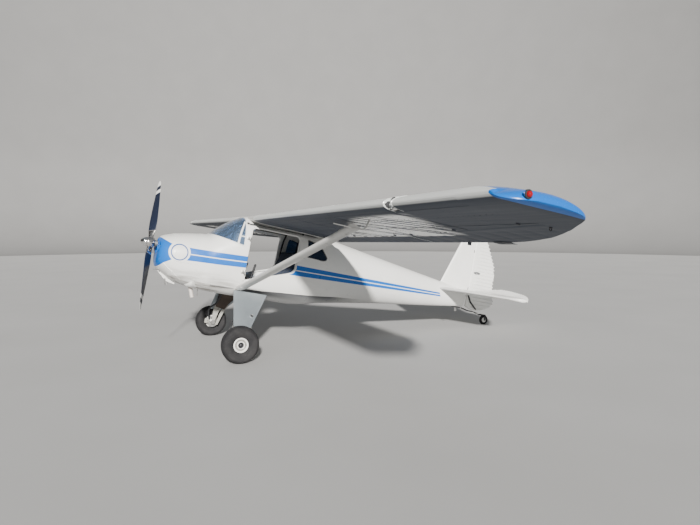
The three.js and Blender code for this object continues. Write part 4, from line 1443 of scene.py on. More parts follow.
    def make_cowl(self) -> None:
        """Upper and lower cowl with seams, oil door, fasteners, exit lip and louvres."""
        shell = self.shell(self.bowl_back_x + 0.0005, self.firewall_x, self.cowl_skin)
        upper_room = Shape().block((-0.9, -0.6, self.cowl_split_z), (0.0, 0.6, 1.4))
        lower_room = Shape().block((-0.9, -0.6, 0.4), (0.0, 0.6, self.cowl_split_z - 0.0012))
        upper = carve(shell, [upper_room], keep=True)
        lower = carve(carve(shell, [lower_room], keep=True),
                      [Shape().block((-0.640, -0.2, 0.4), (-0.5, 0.2, 0.64))])
        hatch = [self.at(x, math.radians(a), -0.0022)
                 for x, a in ((-0.82, 60), (-0.82, 74), (-0.68, 74), (-0.68, 60))]
        upper.tube([lerp_points(hatch, t) for t in steps(0, 4, 33)[:-1]], 0.002, 6, closed=True)
        for a in (60, 67, 74):
            spot = self.at(-0.672, math.radians(a))
            upper.stud(spot, Vector((0, 0.3, 1)).normalized(), 0.006, 0.003, 10)
        for angle in steps(8, 172, 15):
            for x in (-0.866, -0.558):
                self.cowl_screw(upper, x, math.radians(angle))
        for side in Side:
            for x in steps(-0.85, -0.57, 6):
                y = self.side_y(x, 0.868)
                upper.stud(Vector((x, side.value * y, 0.868)), self.normal(x, 0.868, side), 0.006, 0.002, 10)
                lower.stud(Vector((x, side.value * self.side_y(x, 0.832), 0.832)),
                           self.normal(x, 0.832, side), 0.006, 0.002, 10)
            lower.add(self.seam([(-0.878, 0.735), (-0.845, 0.70), (-0.79, 0.655), (-0.74, 0.62)],
                                side, 0.004))
            for k in range(3):
                x = -0.60 + 0.022 * k
                lower.tube([(x, side.value * self.side_y(x, z), z) for z in steps(0.60, 0.66, 6)], 0.004, 8)
        for x in (-0.866, -0.558):
            for angle in steps(-62, -5, 6):
                for a in (math.radians(angle), math.radians(180 - angle)):
                    self.cowl_screw(lower, x, a)
        dress("cowl_upper_skin", upper, Finish.LIVERY, replaces=["cowl_upper"])
        dress("cowl_lower_skin", lower, Finish.LIVERY, replaces=["cowl_lower"])
        lip = self.hoop(self.bowl_back_x, 0.020, 0.0012)
        lip.add(self.hoop(self.firewall_x, 0.026, 0.0014))
        dress("cowl_straps", lip, Finish.LIVERY)

    def make_cabin(self) -> None:
        """Cabin skin with its door openings, sills, seams and rivets."""
        shell = self.shell(self.firewall_x + 0.0005, self.cabin_back_x, self.skin)
        cabin = carve(shell, [self.across(self.door), self.across(self.quarter), self.glass_region(),
                              self.wing_room()])
        dress("cabin_skin", cabin, Finish.LIVERY,
              replaces=["cabin_side_left", "cabin_side_right", "cabin_belly"])
        trim = Shape()
        for side in Side:
            for x in (0.755, 1.235):
                trim.add(self.rivets((x, 0.66), (x, 1.16 if x < 1 else 1.34), side))
            trim.add(self.rivets((-0.53, 0.72), (-0.53, 1.16), side))
            trim.add(self.rivets((-0.50, 0.70), (-0.01, 0.69), side))
            trim.add(self.rivets((0.03, 0.685), (0.72, 0.69), side))
            trim.add(self.rivets((0.77, 0.70), (1.22, 0.72), side))
            trim.add(self.seam([(-0.515, 1.235), (-0.515, 0.66)], side, 0.0016))
            trim.add(self.seam([(0.740, 1.44), (0.740, 0.64)], side, 0.0016))
            trim.add(self.seam([(-0.54, 0.640), (-0.09, 0.640)], side, 0.0016))
            trim.add(self.seam(Finish.LIVERY.value.belly_edge[1:9], side, 0.0042))
        dress("cabin_rivets", trim, Finish.LIVERY)

    def door_frame(self, side: Side) -> None:
        """Rolled channel round one door opening, set back into the skin.

        Args:
            side: Left or right.
        """
        outline = rounded(self.door, 0.022)
        inner = shrunk(outline, 0.016)
        deep = side.value * 0.452
        rings = [[Vector((x, side.value * (self.side_y(x, z) - 0.004), z)) for x, z in ring]
                 for ring in (outline, inner)]
        rings += [[Vector((x, deep, z)) for x, z in ring] for ring in (inner, outline)]
        frame_shape = Shape().loft(rings, caps=False, wrap=True)
        dress(f"door_frame_{side.word}", frame_shape, Finish.WHITE_PAINT)
        hinges = Shape()
        for z in (0.86, 1.30):
            y = side.value * self.side_y(0.006, z)
            hinges.tube([(0.004, y + side.value * 0.006, z - 0.035),
                         (0.004, y + side.value * 0.006, z + 0.035)], 0.007, 12)
            hinges.block((-0.034, min(y, y + side.value * 0.004), z - 0.022),
                         (0.004, max(y, y + side.value * 0.004), z + 0.022))
        dress(f"door_hinge_halves_{side.word}", hinges, Finish.BARE_STEEL,
              bevel=0.001)

    def make_glass(self) -> None:
        """Windshield with its centre strip and edge bands, and the rear side windows."""
        xs = self.stations(-0.454, self.post_front_x - 0.0005, 0.02)
        outer = [self.ring(x, 0.0005) for x in xs]
        inner = [self.ring(x, 0.006) for x in reversed(xs)]
        glass = carve(Shape().loft(outer + inner, caps=False, wrap=True), [self.glass_region(0.0012)],
                      keep=True)
        dress("windshield_sheet", glass, Finish.WINDOW,
              replaces=["windshield"])
        bands = Shape()
        for side in Side:
            foot = []
            for x in steps(-0.450, self.post_front_x, 26):
                z = self.deck_z(x) + 0.006
                foot.append(Vector((x, side.value * (self.side_y(x, z) + 0.001), z)))
            bands.tube(foot, 0.006, 8)
            post = [Vector((self.post_front_x, side.value * (self.side_y(self.post_front_x, z) + 0.001), z))
                    for z in steps(self.deck_z(self.post_front_x), 1.50, 16)]
            bands.tube(post, 0.008, 8)
        dress("windshield_bands", bands, Finish.LIVERY)
        strips = Shape()
        for side in Side:
            strip = []
            for t in steps(0, 1, 20):
                x = lerp(-0.136, -0.064, t ** 1.7)
                z = lerp(self.deck_z(x) + 0.004, 1.515, t)
                strip.append((x, z))
            rings = []
            half = Vector((0.013, 0, 0))
            for x, z in strip:
                y = self.side_y(x, z)
                out = self.normal(x, z, side)
                base = Vector((x, side.value * y, z))
                low, high = out * 0.002, out * 0.003
                rings.append([base - half - low, base - half + high, base + half + high, base + half - low])
            strips.loft(rings)
            bar = []
            for x in steps(-0.125, self.post_front_x, 8):
                z = 1.315
                bar.append(Vector((x, side.value * (self.side_y(x, z) + 0.002), z)))
            strips.tube(bar, 0.008, 8)
        dress("windshield_strips", strips, Finish.WHITE_PAINT)
        for side in Side:
            pane = rounded([(lerp(0.975, x, 0.992), lerp(1.310, z, 0.992)) for x, z in self.quarter], 0.02)
            xs = self.stations(0.70, self.cabin_back_x)
            sheet = [self.ring(x, 0.008) for x in xs] + [self.ring(x, 0.014) for x in reversed(xs)]
            skin = Shape().loft(sheet, caps=False, wrap=True)
            near, far = (-0.7, -0.01) if side is Side.LEFT else (0.01, 0.7)
            window = carve(skin, [self.across(pane, near, far)], keep=True)
            dress(f"quarter_pane_{side.word}", window, Finish.DARK_WINDOW,
                  replaces=[f"quarter_window_{side.word}"])
            edge = rounded(self.quarter, 0.02)
            gasket = [Vector((x, side.value * (self.side_y(x, z) - 0.004), z)) for x, z in edge]
            dress(f"quarter_gasket_{side.word}", Shape().tube(gasket, 0.006, 8, closed=True),
                  Finish.SEALANT)

    def make_cone(self) -> None:
        """Tail cone with hoop seams, rivet rows, inspection plate and elevator bearing."""
        cone = self.solid(self.cabin_back_x + 0.0005, self.cone_back_x)
        bearing = Shape().block((3.84, -0.02, 1.14), (3.8915, 0.02, 1.176))
        cone.add(bearing)
        dress("tail_cone_skin", cone, Finish.LIVERY, replaces=["tail_cone"])
        trim = Shape()
        for x in (1.262, 1.72, 2.18, 2.62, 3.05, 3.44):
            trim.add(self.hoop(x, 0.022, 0.0008))
            for angle in steps(0, 345, 24):
                a = math.radians(angle)
                spot = self.at(x + 0.006, a)
                trim.stud(spot, (spot - Vector((x, 0, 1.05))).normalized(), 0.004, 0.0022)
        for side in Side:
            for share_start, share_stop in ((0.62, 0.60), (0.20, 0.28)):
                row = []
                for x in steps(1.28, 3.82, 60):
                    _, top, low, _ = (line(x) for line in self.lines)
                    z = lerp(low, top, lerp(share_start, share_stop, (x - 1.28) / 2.54))
                    row.append((x, z))
                for x, z in row:
                    trim.stud(Vector((x, side.value * self.side_y(x, z), z)), self.normal(x, z, side),
                              0.0036, 0.0013)
        spot_x, spot_z = 2.86, 0.93
        plate_ring = [(spot_x + 0.055 * math.cos(a), spot_z + 0.055 * math.sin(a))
                      for a in steps(0, 2 * math.pi, 33)]
        trim.add(self.seam(plate_ring, Side.LEFT, 0.0018))
        trim.add(self.seam(plate_ring, Side.RIGHT, 0.0018))
        dress("cone_seams", trim, Finish.LIVERY)

    def make(self) -> None:
        """Builds every fuselage piece."""
        self.make_bowl()
        self.make_cowl()
        self.make_cabin()
        self.make_glass()
        self.make_cone()
        for side in Side:
            self.door_frame(side)


def doubled(row: Ring, shift: Sequence[float]) -> Ring:
    """A row of points and its copy, shifted, back along it: the section of a thin sheet."""
    return [*row, *[p + Vector(shift) for p in reversed(row)]]


def lerp_points(corners: Sequence[Vector], t: float) -> Vector:
    """Point at t on a closed run of corners, one corner a unit."""
    i = int(t) % len(corners)
    return corners[i].lerp(corners[(i + 1) % len(corners)], t - int(t))


def rounded(outline: Sequence[Point], radius: float, count: int = 5) -> list[Point]:
    """An outline with its corners turned into small arcs.

    Args:
        outline: Corners in order.
        radius: Reach of each arc.
        count: Points on an arc.

    Returns:
        The rounded outline.
    """
    made: list[Point] = []
    for i, corner in enumerate(outline):
        here = Vector(corner)
        before = Vector(outline[i - 1]) - here
        after = Vector(outline[(i + 1) % len(outline)]) - here
        start = here + before.normalized() * min(radius, before.length * 0.45)
        end = here + after.normalized() * min(radius, after.length * 0.45)
        for t in steps(0, 1, count):
            point = start * (1 - t) ** 2 + here * 2 * t * (1 - t) + end * t ** 2
            made.append((point.x, point.y))
    return made


def shrunk(outline: Sequence[Point], inset: float) -> list[Point]:
    """An outline moved inwards by a distance at each point.

    Args:
        outline: Points in order.
        inset: Distance to move in.

    Returns:
        The smaller outline.
    """
    area = sum(a[0] * b[1] - b[0] * a[1] for a, b in zip(outline, [*outline[1:], outline[0]]))
    turn = 1 if area > 0 else -1
    made = []
    for i, point in enumerate(outline):
        before, after = Vector(outline[i - 1]), Vector(outline[(i + 1) % len(outline)])
        along = (after - before).normalized()
        made.append((point[0] - along.y * inset * turn, point[1] + along.x * inset * turn))
    return made


@dataclass
class Panel:
    """A moving part of the wing's trailing edge: its ends and the hinge's share of the chord there."""

    start: float
    stop: float
    hinge_start: float
    hinge_stop: float
    beads: int


@dataclass
class Wing:
    """Wings, tips, flaps, ailerons, lamps and the roof between the roots."""

    chord: float = 1.270
    half_span: float = 5.335
    edge_x: float = -0.020
    root_y: float = 0.530
    seam_y: float = 4.906
    corner_y: float = 5.200
    root_z: float = 1.567
    tip_z: float = 1.600
    root_incidence: float = math.radians(3.2)
    tip_incidence: float = math.radians(0.9)
    hinge_clear: float = 0.007
    end_gap: float = 0.006
    rib_pitch: float = 0.3647
    flap: Panel = field(default_factory=lambda: Panel(0.620, 2.835, 0.77, 0.77, 13))
    aileron: Panel = field(default_factory=lambda: Panel(2.865, 4.900, 0.77, 0.55, 9))
    lamp_y: float = 4.125
    lamp_half: float = 0.057
    lamp_z: float = 1.597
    lamp_bay: tuple[float, float] = (1.556, 1.640)
    light_z: float = 1.606
    light_length: float = 0.125
    light_radius: float = 0.024
    light_widest: float = 0.28
    rivet_radius: float = 0.0042
    rivet_height: float = 0.0012
    spars: tuple[float, float] = (0.27, 0.50)
    rear_edge: tuple[Point, ...] = (
        (0.0, 1.270), (3.950, 1.270), (4.150, 1.238), (4.320, 1.190), (4.563, 1.096), (4.780, 0.968),
        (4.950, 0.850), (5.106, 0.727), (5.220, 0.640), (5.290, 0.575), (5.320, 0.500), (5.335, 0.340))
    tip_front: tuple[Point, ...] = ((4.906, 0.0), (5.200, 0.0), (5.240, 0.022), (5.275, 0.050),
                                    (5.305, 0.090), (5.324, 0.130), (5.335, 0.190))
    tip_depth: tuple[Point, ...] = ((4.906, 1.0), (5.030, 0.9), (5.200, 0.68), (5.240, 0.62), (5.275, 0.54),
                                    (5.305, 0.42), (5.324, 0.28), (5.335, 0.12))
    foil: Aerofoil = field(default_factory=Aerofoil)
    skin_steps: int = 34

    def at(self, y: float, along: float, up: float) -> Vector:
        """Point on the wing at y, from shares of the chord along and up.

        Args:
            y: Place along the span.
            along: Distance behind the edge, in chords.
            up: Height, in chords.

        Returns:
            The point.
        """
        t = max(0.0, abs(y) - self.root_y) / (self.corner_y - self.root_y)
        z = lerp(self.root_z, self.tip_z, t)
        tilt = lerp(self.root_incidence, self.tip_incidence, t)
        c, s = math.cos(tilt), math.sin(tilt)
        return Vector((self.edge_x + self.chord * (along * c + up * s), y,
                       z + self.chord * (up * c - along * s)))

    def section(self) -> list[tuple[float, bool]]:
        """Shares of the chord round the section, from the tail over the top and back below."""
        shares = [(1 - math.cos(math.pi * i / self.skin_steps)) / 2 for i in range(self.skin_steps + 1)]
        return [(t, True) for t in reversed(shares)] + [(t, False) for t in shares[1:]]

    def ring(self, y: float, dent: float = 0.0) -> Ring:
        """Wing section at y, its skin sunk by dent between the ribs.

        Args:
            y: Place along the span.
            dent: Depth of the dent in metres.

        Returns:
            The section.
        """
        made = []
        for t, upper in self.section():
            share = min(1.0, max(0.0, (t - 0.07) / 0.86))
            flat = max(0.0, math.sin(math.pi * share)) ** 0.5 if t > 0.07 else 0.0
            up = self.foil.surface(t, upper)
            up += (-dent if upper else dent) * flat / self.chord
            if t == 1.0:
                up += 0.0016 if upper else -0.0016
            made.append(self.at(y, t, up))
        return made

    def skin(self, start: float, stop: float) -> Shape:
        """Wing skin that sinks slightly between its ribs.

        Args:
            start: Inner end.
            stop: Outer end.

        Returns:
            The skin, closed at its ends.
        """
        ys = steps(start, stop, round((stop - start) / (self.rib_pitch / 8)) + 1)
        rings = []
        for y in ys:
            phase = (y - self.root_y) / self.rib_pitch
            rings.append(self.ring(y, 0.0016 * abs(math.sin(math.pi * phase)) ** 0.8))
        return Shape().loft(rings)

    def hinge(self, y: float, panel: Panel) -> tuple[float, float, float]:
        """Hinge line at y: its share of the chord, height and half depth, in chords.

        Args:
            y: Place along the span.
            panel: Flap or aileron.

        Returns:
            Share of the chord, height and half depth.
        """
        t = lerp(panel.hinge_start, panel.hinge_stop, (y - panel.start) / (panel.stop - panel.start))
        upper, lower = self.foil.surface(t, True), self.foil.surface(t, False)
        return t, (upper + lower) / 2, (upper - lower) / 2

    def rear_at(self, y: float) -> float:
        """Trailing edge at y, as a share of the chord."""
        return follow(self.rear_edge, y) / self.chord

    def nose_arc(self, y: float, panel: Panel, grow: float, count: int = 14) -> list[tuple[float, float]]:
        """Half round of a panel's leading edge, from above forward and down.

        Args:
            y: Place along the span.
            panel: Flap or aileron.
            grow: Added radius in metres.
            count: Points on the arc.

        Returns:
            Points in chords.
        """
        t, middle, half = self.hinge(y, panel)
        radius = half + grow / self.chord
        return [(t + radius * math.cos(a), middle + radius * math.sin(a))
                for a in steps(math.pi / 2, 3 * math.pi / 2, count)]

    def cove(self, panel: Panel) -> Shape:
        """Room cut out of the wing for a moving panel.

        Args:
            panel: Flap or aileron.

        Returns:
            The room.
        """
        rings = []
        for y in steps(panel.start - self.end_gap, panel.stop + self.end_gap, 24):
            t = self.hinge(y, panel)[0]
            outline = [*self.nose_arc(y, panel, self.hinge_clear), (t, -0.2), (1.1, -0.2), (1.1, 0.3),
                       (t, 0.3)]
            rings.append([self.at(y, a, b) for a, b in outline])
        return Shape().loft(rings)

    def panel_shape(self, panel: Panel) -> Shape:
        """A flap or aileron with pressed beads along its chord.

        Args:
            panel: Flap or aileron.

        Returns:
            The panel.
        """
        rings = []
        span = panel.stop - panel.start
        pitch = span / panel.beads
        shares = [0.04, 0.12, 0.22, 0.34, 0.46, 0.58, 0.70, 0.82, 0.92, 1.0]
        for y in steps(panel.start, panel.stop, panel.beads * 10 + 1):
            hinge_t, _, half = self.hinge(y, panel)
            rear = self.rear_at(y)
            phase = abs((y - panel.start) / pitch % 1.0 - 0.5) * 2
            raised = max(0.0, 1 - phase / 0.42) ** 0.6 * 0.0045 / self.chord
            scale = half * 2 / (self.foil.surface(hinge_t, True) - self.foil.surface(hinge_t, False))
            low_side, high_side = [], []
            for part in shares:
                t = lerp(hinge_t, rear, part)
                same = lerp(hinge_t, 1.0, part)
                deep = self.foil.surface(same, True) - self.foil.surface(same, False)
                low = self.foil.surface(t, False)
                bead = raised * min(1.0, max(0.0, (part - 0.1) / 0.15)) * min(1.0, (1.02 - part) / 0.2)
                low_side.append((t, low + bead))
                high_side.append((t, low + deep * scale + 0.0032 - bead))
            outline = [*self.nose_arc(y, panel, 0.0), *low_side, *reversed(high_side)]
            rings.append([self.at(y, a, b) for a, b in outline])
        shape = Shape().loft(rings)
        start, stop = (self.at(y, *self.hinge(y, panel)[:2]) for y in (panel.start, panel.stop))
        along = (stop - start).normalized()
        return shape.tube([start - along * 0.0045, stop + along * 0.0045], 0.005, 12)

    def tip(self) -> Shape:
        """Rounded wing tip that carries the whole section out to its edge.

        Returns:
            The tip.
        """
        ys = [4.9063, 4.93, 4.96, 5.0, 5.04, 5.08, 5.12, 5.16, 5.19, 5.205, 5.22, 5.24, 5.258, 5.275, 5.29,
              5.305, 5.315, 5.324, 5.330, 5.335]
        front_line = fair_line(*zip(*self.tip_front))
        rear_line = fair_line(*zip(*self.rear_edge))
        depth_line = fair_line(*zip(*self.tip_depth))
        rings = []
        for y in ys:
            front, rear, deep = front_line(y) / self.chord, rear_line(y) / self.chord, depth_line(y)
            full_from = lerp(front, rear, 0.4)
            ring = []
            for a, upper in self.section():
                along = lerp(front, rear, a)
                high, low = self.foil.surface(along, True), self.foil.surface(along, False)
                past = max(0.0, along - full_from) / (rear - full_from)
                ahead = max(0.0, 1 - (along - front) / 0.12) if front > 0 else 0.0
                share = deep * math.sqrt(max(0.004, (1 - past ** 2) * (1 - ahead ** 2)))
                keel = low + (high - low) * (0.3 * (0.68 - deep) if y > self.corner_y else 0.0)
                up = keel + (high - low) * share + 0.0016 if upper else keel - 0.0016
                ring.append(self.at(y, along, up))
            rings.append(ring)
        return Shape().loft(rings)

    def surface_point(self, y: float, t: float, upper: bool) -> tuple[Vector, Vector]:
        """Place and outward direction on the wing's skin.

        Args:
            y: Place along the span.
            t: Share of the chord.
            upper: Takes the upper surface.

        Returns:
            The place and the direction.
        """
        here = self.at(y, t, self.foil.surface(t, upper))
        ahead = self.at(y, t + 0.002, self.foil.surface(t + 0.002, upper))
        out = (ahead - here).cross(Vector((0, 1, 0))).normalized()
        return here, out if (out.z > 0) == upper else -out

    def rivet_rows(self, upper: bool) -> Shape:
        """Rivets along each rib and both spars of a wing, on its top or its underside.

        Args:
            upper: Takes the top.

        Returns:
            The rivets of one wing.
        """
        shape = Shape()
        ribs = int((self.seam_y - self.root_y) / self.rib_pitch)
        for k in range(ribs + 1):
            y = self.root_y + 0.012 + k * self.rib_pitch
            last = 0.72 if y < self.aileron.start else self.hinge(y, self.aileron)[0] - 0.05
            for t in steps(0.06, last, round(last / 0.042)):
                spot, out = self.surface_point(y, t, upper)
                shape.stud(spot, out, self.rivet_radius, self.rivet_height, 6)
        for t in self.spars:
            for y in steps(self.root_y + 0.03, self.seam_y - 0.03, 78):
                spot, out = self.surface_point(y, t, upper)
                shape.stud(spot, out, self.rivet_radius, self.rivet_height, 6)
        return shape

    def laps(self, upper: bool) -> Shape:
        """Thin lap lines of the wing's sheets on one face, along the span and chord.

        Args:
            upper: Takes the top.

        Returns:
            The lap lines of one wing.
        """
        shape = Shape()
        stations = steps(self.root_y + 0.002, self.seam_y - 0.002, 46)
        for t in (0.095 if upper else 0.085, 0.50):
            shape.tube([self.surface_point(y, t, upper)[0] for y in stations], 0.0017, 6)
        for y in (0.95, 2.02, 2.955, 4.02):
            last = 0.74 if y < self.aileron.start else self.hinge(y, self.aileron)[0] - 0.03
            path = [self.surface_point(y, t, upper)[0] for t in steps(0.04, last, 26)]
            shape.tube(path, 0.0015, 6)
        return shape

    def make_lamp(self) -> None:
        """Landing lamp with its reflector, lens and bezel in the left leading edge."""
        y = -self.lamp_y
        axis = Matrix.Translation((self.edge_x + 0.095, y,
                                   self.lamp_z)) @ Matrix.Rotation(-math.pi / 2, 4, "Y")
        bowl = [(0.0, 0.004), (0.018, 0.006), (0.034, 0.016), (0.043, 0.040), (0.0445, 0.052),
                (0.047, 0.052), (0.046, 0.036), (0.036, 0.008), (0.018, 0.0005), (0.0, 0.0003)]
        dress("lamp_reflector", Shape().lathe(bowl, 36, axis), Finish.POLISHED,
              replaces=["landing_light"])
        lens = [(0.0, 0.050), (0.020, 0.049), (0.042, 0.044), (0.042, 0.047), (0.020, 0.053), (0.0, 0.054)]
        dress("lamp_lens", Shape().lathe(lens, 36, axis), Finish.LAMP_GLASS)
        back, (low, high) = self.edge_x + 0.094, self.lamp_bay
        lining = Shape().block((back - 0.002, y - self.lamp_half + 0.001, low),
                               (back, y + self.lamp_half - 0.001, high))
        cheek = [(back, low), (back, high), (self.edge_x + 0.030, 1.612), (self.edge_x + 0.012, 1.590),
                 (self.edge_x + 0.030, 1.570)]
        for offset in (-self.lamp_half + 0.001, self.lamp_half - 0.003):
            lining.loft([[(x, y + offset + shift, z) for x, z in cheek] for shift in (0.0, 0.002)])
        dress("lamp_bay_lining", lining, Finish.PANEL)
        nose = [(t, True) for t in (0.088, 0.06, 0.035, 0.016, 0.005, 0.0)]
        nose += [(t, False) for t in (0.004, 0.014, 0.035, 0.06, 0.088)]
        rims = Shape()
        for offset in (-self.lamp_half, self.lamp_half):
            rims.tube([self.at(y + offset, t, self.foil.surface(t, upper)) for t, upper in nose], 0.0032, 8)
        dress("lamp_bay_rims", rims, Finish.SILVER_SKIN)

    def make_roof(self) -> None:
        """Centre section between the wing roots, its header and fairing strips."""
        rings = [self.ring(y) for y in steps(-self.root_y + 0.0003, self.root_y - 0.0003, 13)]
        roof = carve(Shape().loft(rings), [Shape().block((-0.2, -0.7, 1.4), (1.18, 0.7, 1.9))], keep=True)
        hull = Fuselage()
        header = carve(hull.shell(hull.post_front_x + 0.0003, 0.0, hull.skin),
                       [Shape().block((-0.1, -0.7, hull.header_z + 0.0003), (0.02, 0.7, 1.9))], keep=True)
        roof = carve(roof, [carve(hull.solid(0.96, hull.cabin_back_x + 0.02, -0.0003),
                                  [Shape().block((0.999, -0.7, 1.3), (1.3, 0.7, 1.7))], keep=True)])
        dress("roof_skin", roof, Finish.SILVER_PAINT,
              replaces=["cabin_roof"])
        dress("windshield_header", header, Finish.LIVERY)
        strips = Shape()
        for side in Side:
            for offset in (-0.010, 0.012):
                y = side.value * (self.root_y + offset)
                path = [self.at(y, t, self.foil.surface(t, True)) for t in steps(0.01, 0.90, 30)]
                strips.tube(path, 0.0025, 6)
            low = [self.at(side.value * (self.root_y + 0.002), t, self.foil.surface(t, False))
                   for t in steps(0.0, 0.74, 26)]
            strips.tube(low, 0.008, 8)
        dress("root_fairing_strips", strips, Finish.SILVER_PAINT)

    def light_swell(self, t: float) -> float:
        """Radius of a light's fairing at a share of its length.

        Args:
            t: Share of the length from its nose.

        Returns:
            The radius in metres.
        """
        if t < self.light_widest:
            share = math.sqrt(max(0.0, 1 - (1 - t / self.light_widest) ** 2))
        else:
            past = min(0.999, (t - self.light_widest) / (1 - self.light_widest))
            share = math.cos(math.pi / 2 * past) ** 0.8
        return max(self.light_radius * share, 0.001)

    def make_lights(self) -> None:
        """Navigation lights on teardrop fairings at the tips."""
        for side, finish, slot in ((Side.LEFT, Finish.RED_LENS, "red_lens"),
                                   (Side.RIGHT, Finish.GREEN_LENS, "green_lens")):
            y = side.value * (self.half_span - 0.008)
            out = Matrix.Rotation(-side.value * math.pi / 2, 4, "X")
            place = Matrix.Translation((self.edge_x + 0.132, y - side.value * 0.004, self.light_z)) @ out
            dome = [(0.0, 0.0), (0.0165, 0.0), (0.0175, 0.008), (0.015, 0.018), (0.009, 0.024),
                    (0.0, 0.0262)]
            dress(f"nav_lens_{side.word}", Shape().lathe(dome, 28, place), finish,
                  replaces=[f"nav_light_{side.word}"])
            collar = Shape().lathe([(0.0178, -0.004), (0.0245, -0.004), (0.0245, 0.008), (0.0225, 0.0105),
                                    (0.0178, 0.0105)], 32, place)
            dress(f"nav_collar_{side.word}", collar, Finish.PANEL, crease=30)
            rings = []
            for t in steps(0, 1, 18):
                x, swell = self.edge_x + 0.104 + self.light_length * t, self.light_swell(t)
                rings.append([Vector((x, y + side.value * (0.30 * swell * math.cos(a) - 0.004),
                                      self.light_z + swell * math.sin(a))) for a in turns(16)])
            dress(f"nav_fairing_{side.word}", Shape().loft(rings), Finish.BLUE_PAINT)

    def make_fittings(self) -> None:
        """Hinge brackets, tie rings, the aileron's fixed tab and the airspeed probe."""
        for side in Side:
            brackets = Shape()
            for panel in (self.flap, self.aileron):
                for y in steps(panel.start + 0.16, panel.stop - 0.16, 3):
                    t, _, half = self.hinge(y, panel)
                    spot = self.at(y, t - half * 1.6, self.foil.surface(t - half * 1.6, False))
                    brackets.block((spot.x - 0.026, y - 0.002, spot.z - 0.010),
                                   (spot.x + 0.008, y + 0.002, spot.z + 0.004))
            dress(f"hinge_brackets_{side.word}", brackets.mirrored(side), Finish.UNDERSIDE_SHADE,
                  bevel=0.001)
            ring = Shape()
            spot, out = self.surface_point(4.87, 0.60, False)
            ring.stud(spot, out, 0.012, 0.008, 16)
            ring.tube([spot + Vector((0.009 * math.cos(a), 0.0, -0.013 + 0.009 * math.sin(a)))
                       for a in turns(16)], 0.003, 8, closed=True)
            dress(f"tip_tie_ring_{side.word}", ring.mirrored(side), Finish.DARK_STEEL)
        tab = Shape()
        for y in steps(-3.98, -3.80, 7):
            edge = self.at(y, 1.0, 0.0)
            tab.block((edge.x - 0.035, y, edge.z - 0.006), (edge.x + 0.052, y + 0.0299, edge.z - 0.003))
        edge = self.at(-3.46, 1.0, 0.0)
        tab.block((edge.x - 0.045, -3.468, edge.z - 0.030), (edge.x - 0.015, -3.452, edge.z - 0.003))
        dress("aileron_tab", tab, Finish.UNDERSIDE_SHADE, body="aileron_left")
        probe = Shape()
        base = self.at(-3.30, 0.22, self.foil.surface(0.22, False))
        probe.tube([base + Vector((0.02, 0, 0.01)), base + Vector((0, 0, -0.06)),
                    base + Vector((-0.02, 0, -0.082)), base + Vector((-0.06, 0, -0.09)),
                    base + Vector((-0.30, 0, -0.09))], [0.009, 0.008, 0.007, 0.0065, 0.005], 12)
        dress("airspeed_probe", probe, Finish.BARE_STEEL)

    def make(self) -> None:
        """Builds both wings."""
        blank = self.skin(self.root_y, self.seam_y)
        plain = carve(blank, [self.cove(self.flap), self.cove(self.aileron)])
        bay = Shape().block((self.edge_x - 0.06, self.lamp_y - self.lamp_half, 1.5),
                            (self.edge_x + 0.0953, self.lamp_y + self.lamp_half, 1.7))
        with_bay = carve(plain, [bay])
        above = self.rivet_rows(True).add(self.laps(True))
        below = self.rivet_rows(False).add(self.laps(False))
        tip = self.tip()
        flap, aileron = self.panel_shape(self.flap), self.panel_shape(self.aileron)
        for side in Side:
            skin = with_bay if side is Side.LEFT else plain
            dress(f"wing_skin_{side.word}", skin.mirrored(side), Finish.SILVER_SKIN,
                  replaces=[f"wing_{side.word}"], crease=25)
            dress(f"wing_rivets_{side.word}", above.mirrored(side), Finish.SILVER_SKIN)
            dress(f"wing_rivets_below_{side.word}", below.mirrored(side), Finish.UNDERSIDE_SHADE)
            dress(f"wing_tip_cap_{side.word}", tip.mirrored(side), Finish.SILVER_SKIN,
                  replaces=[f"wing_tip_{side.word}"])
            dress(f"flap_skin_{side.word}", flap.mirrored(side), Finish.SILVER_SKIN,
                  body=f"flap_{side.word}", replaces=[f"flap_{side.word}"])
            dress(f"aileron_skin_{side.word}", aileron.mirrored(side), Finish.SILVER_SKIN,
                  body=f"aileron_{side.word}", replaces=[f"aileron_{side.word}"])
        self.make_lamp()
        self.make_roof()
        self.make_lights()
        self.make_fittings()


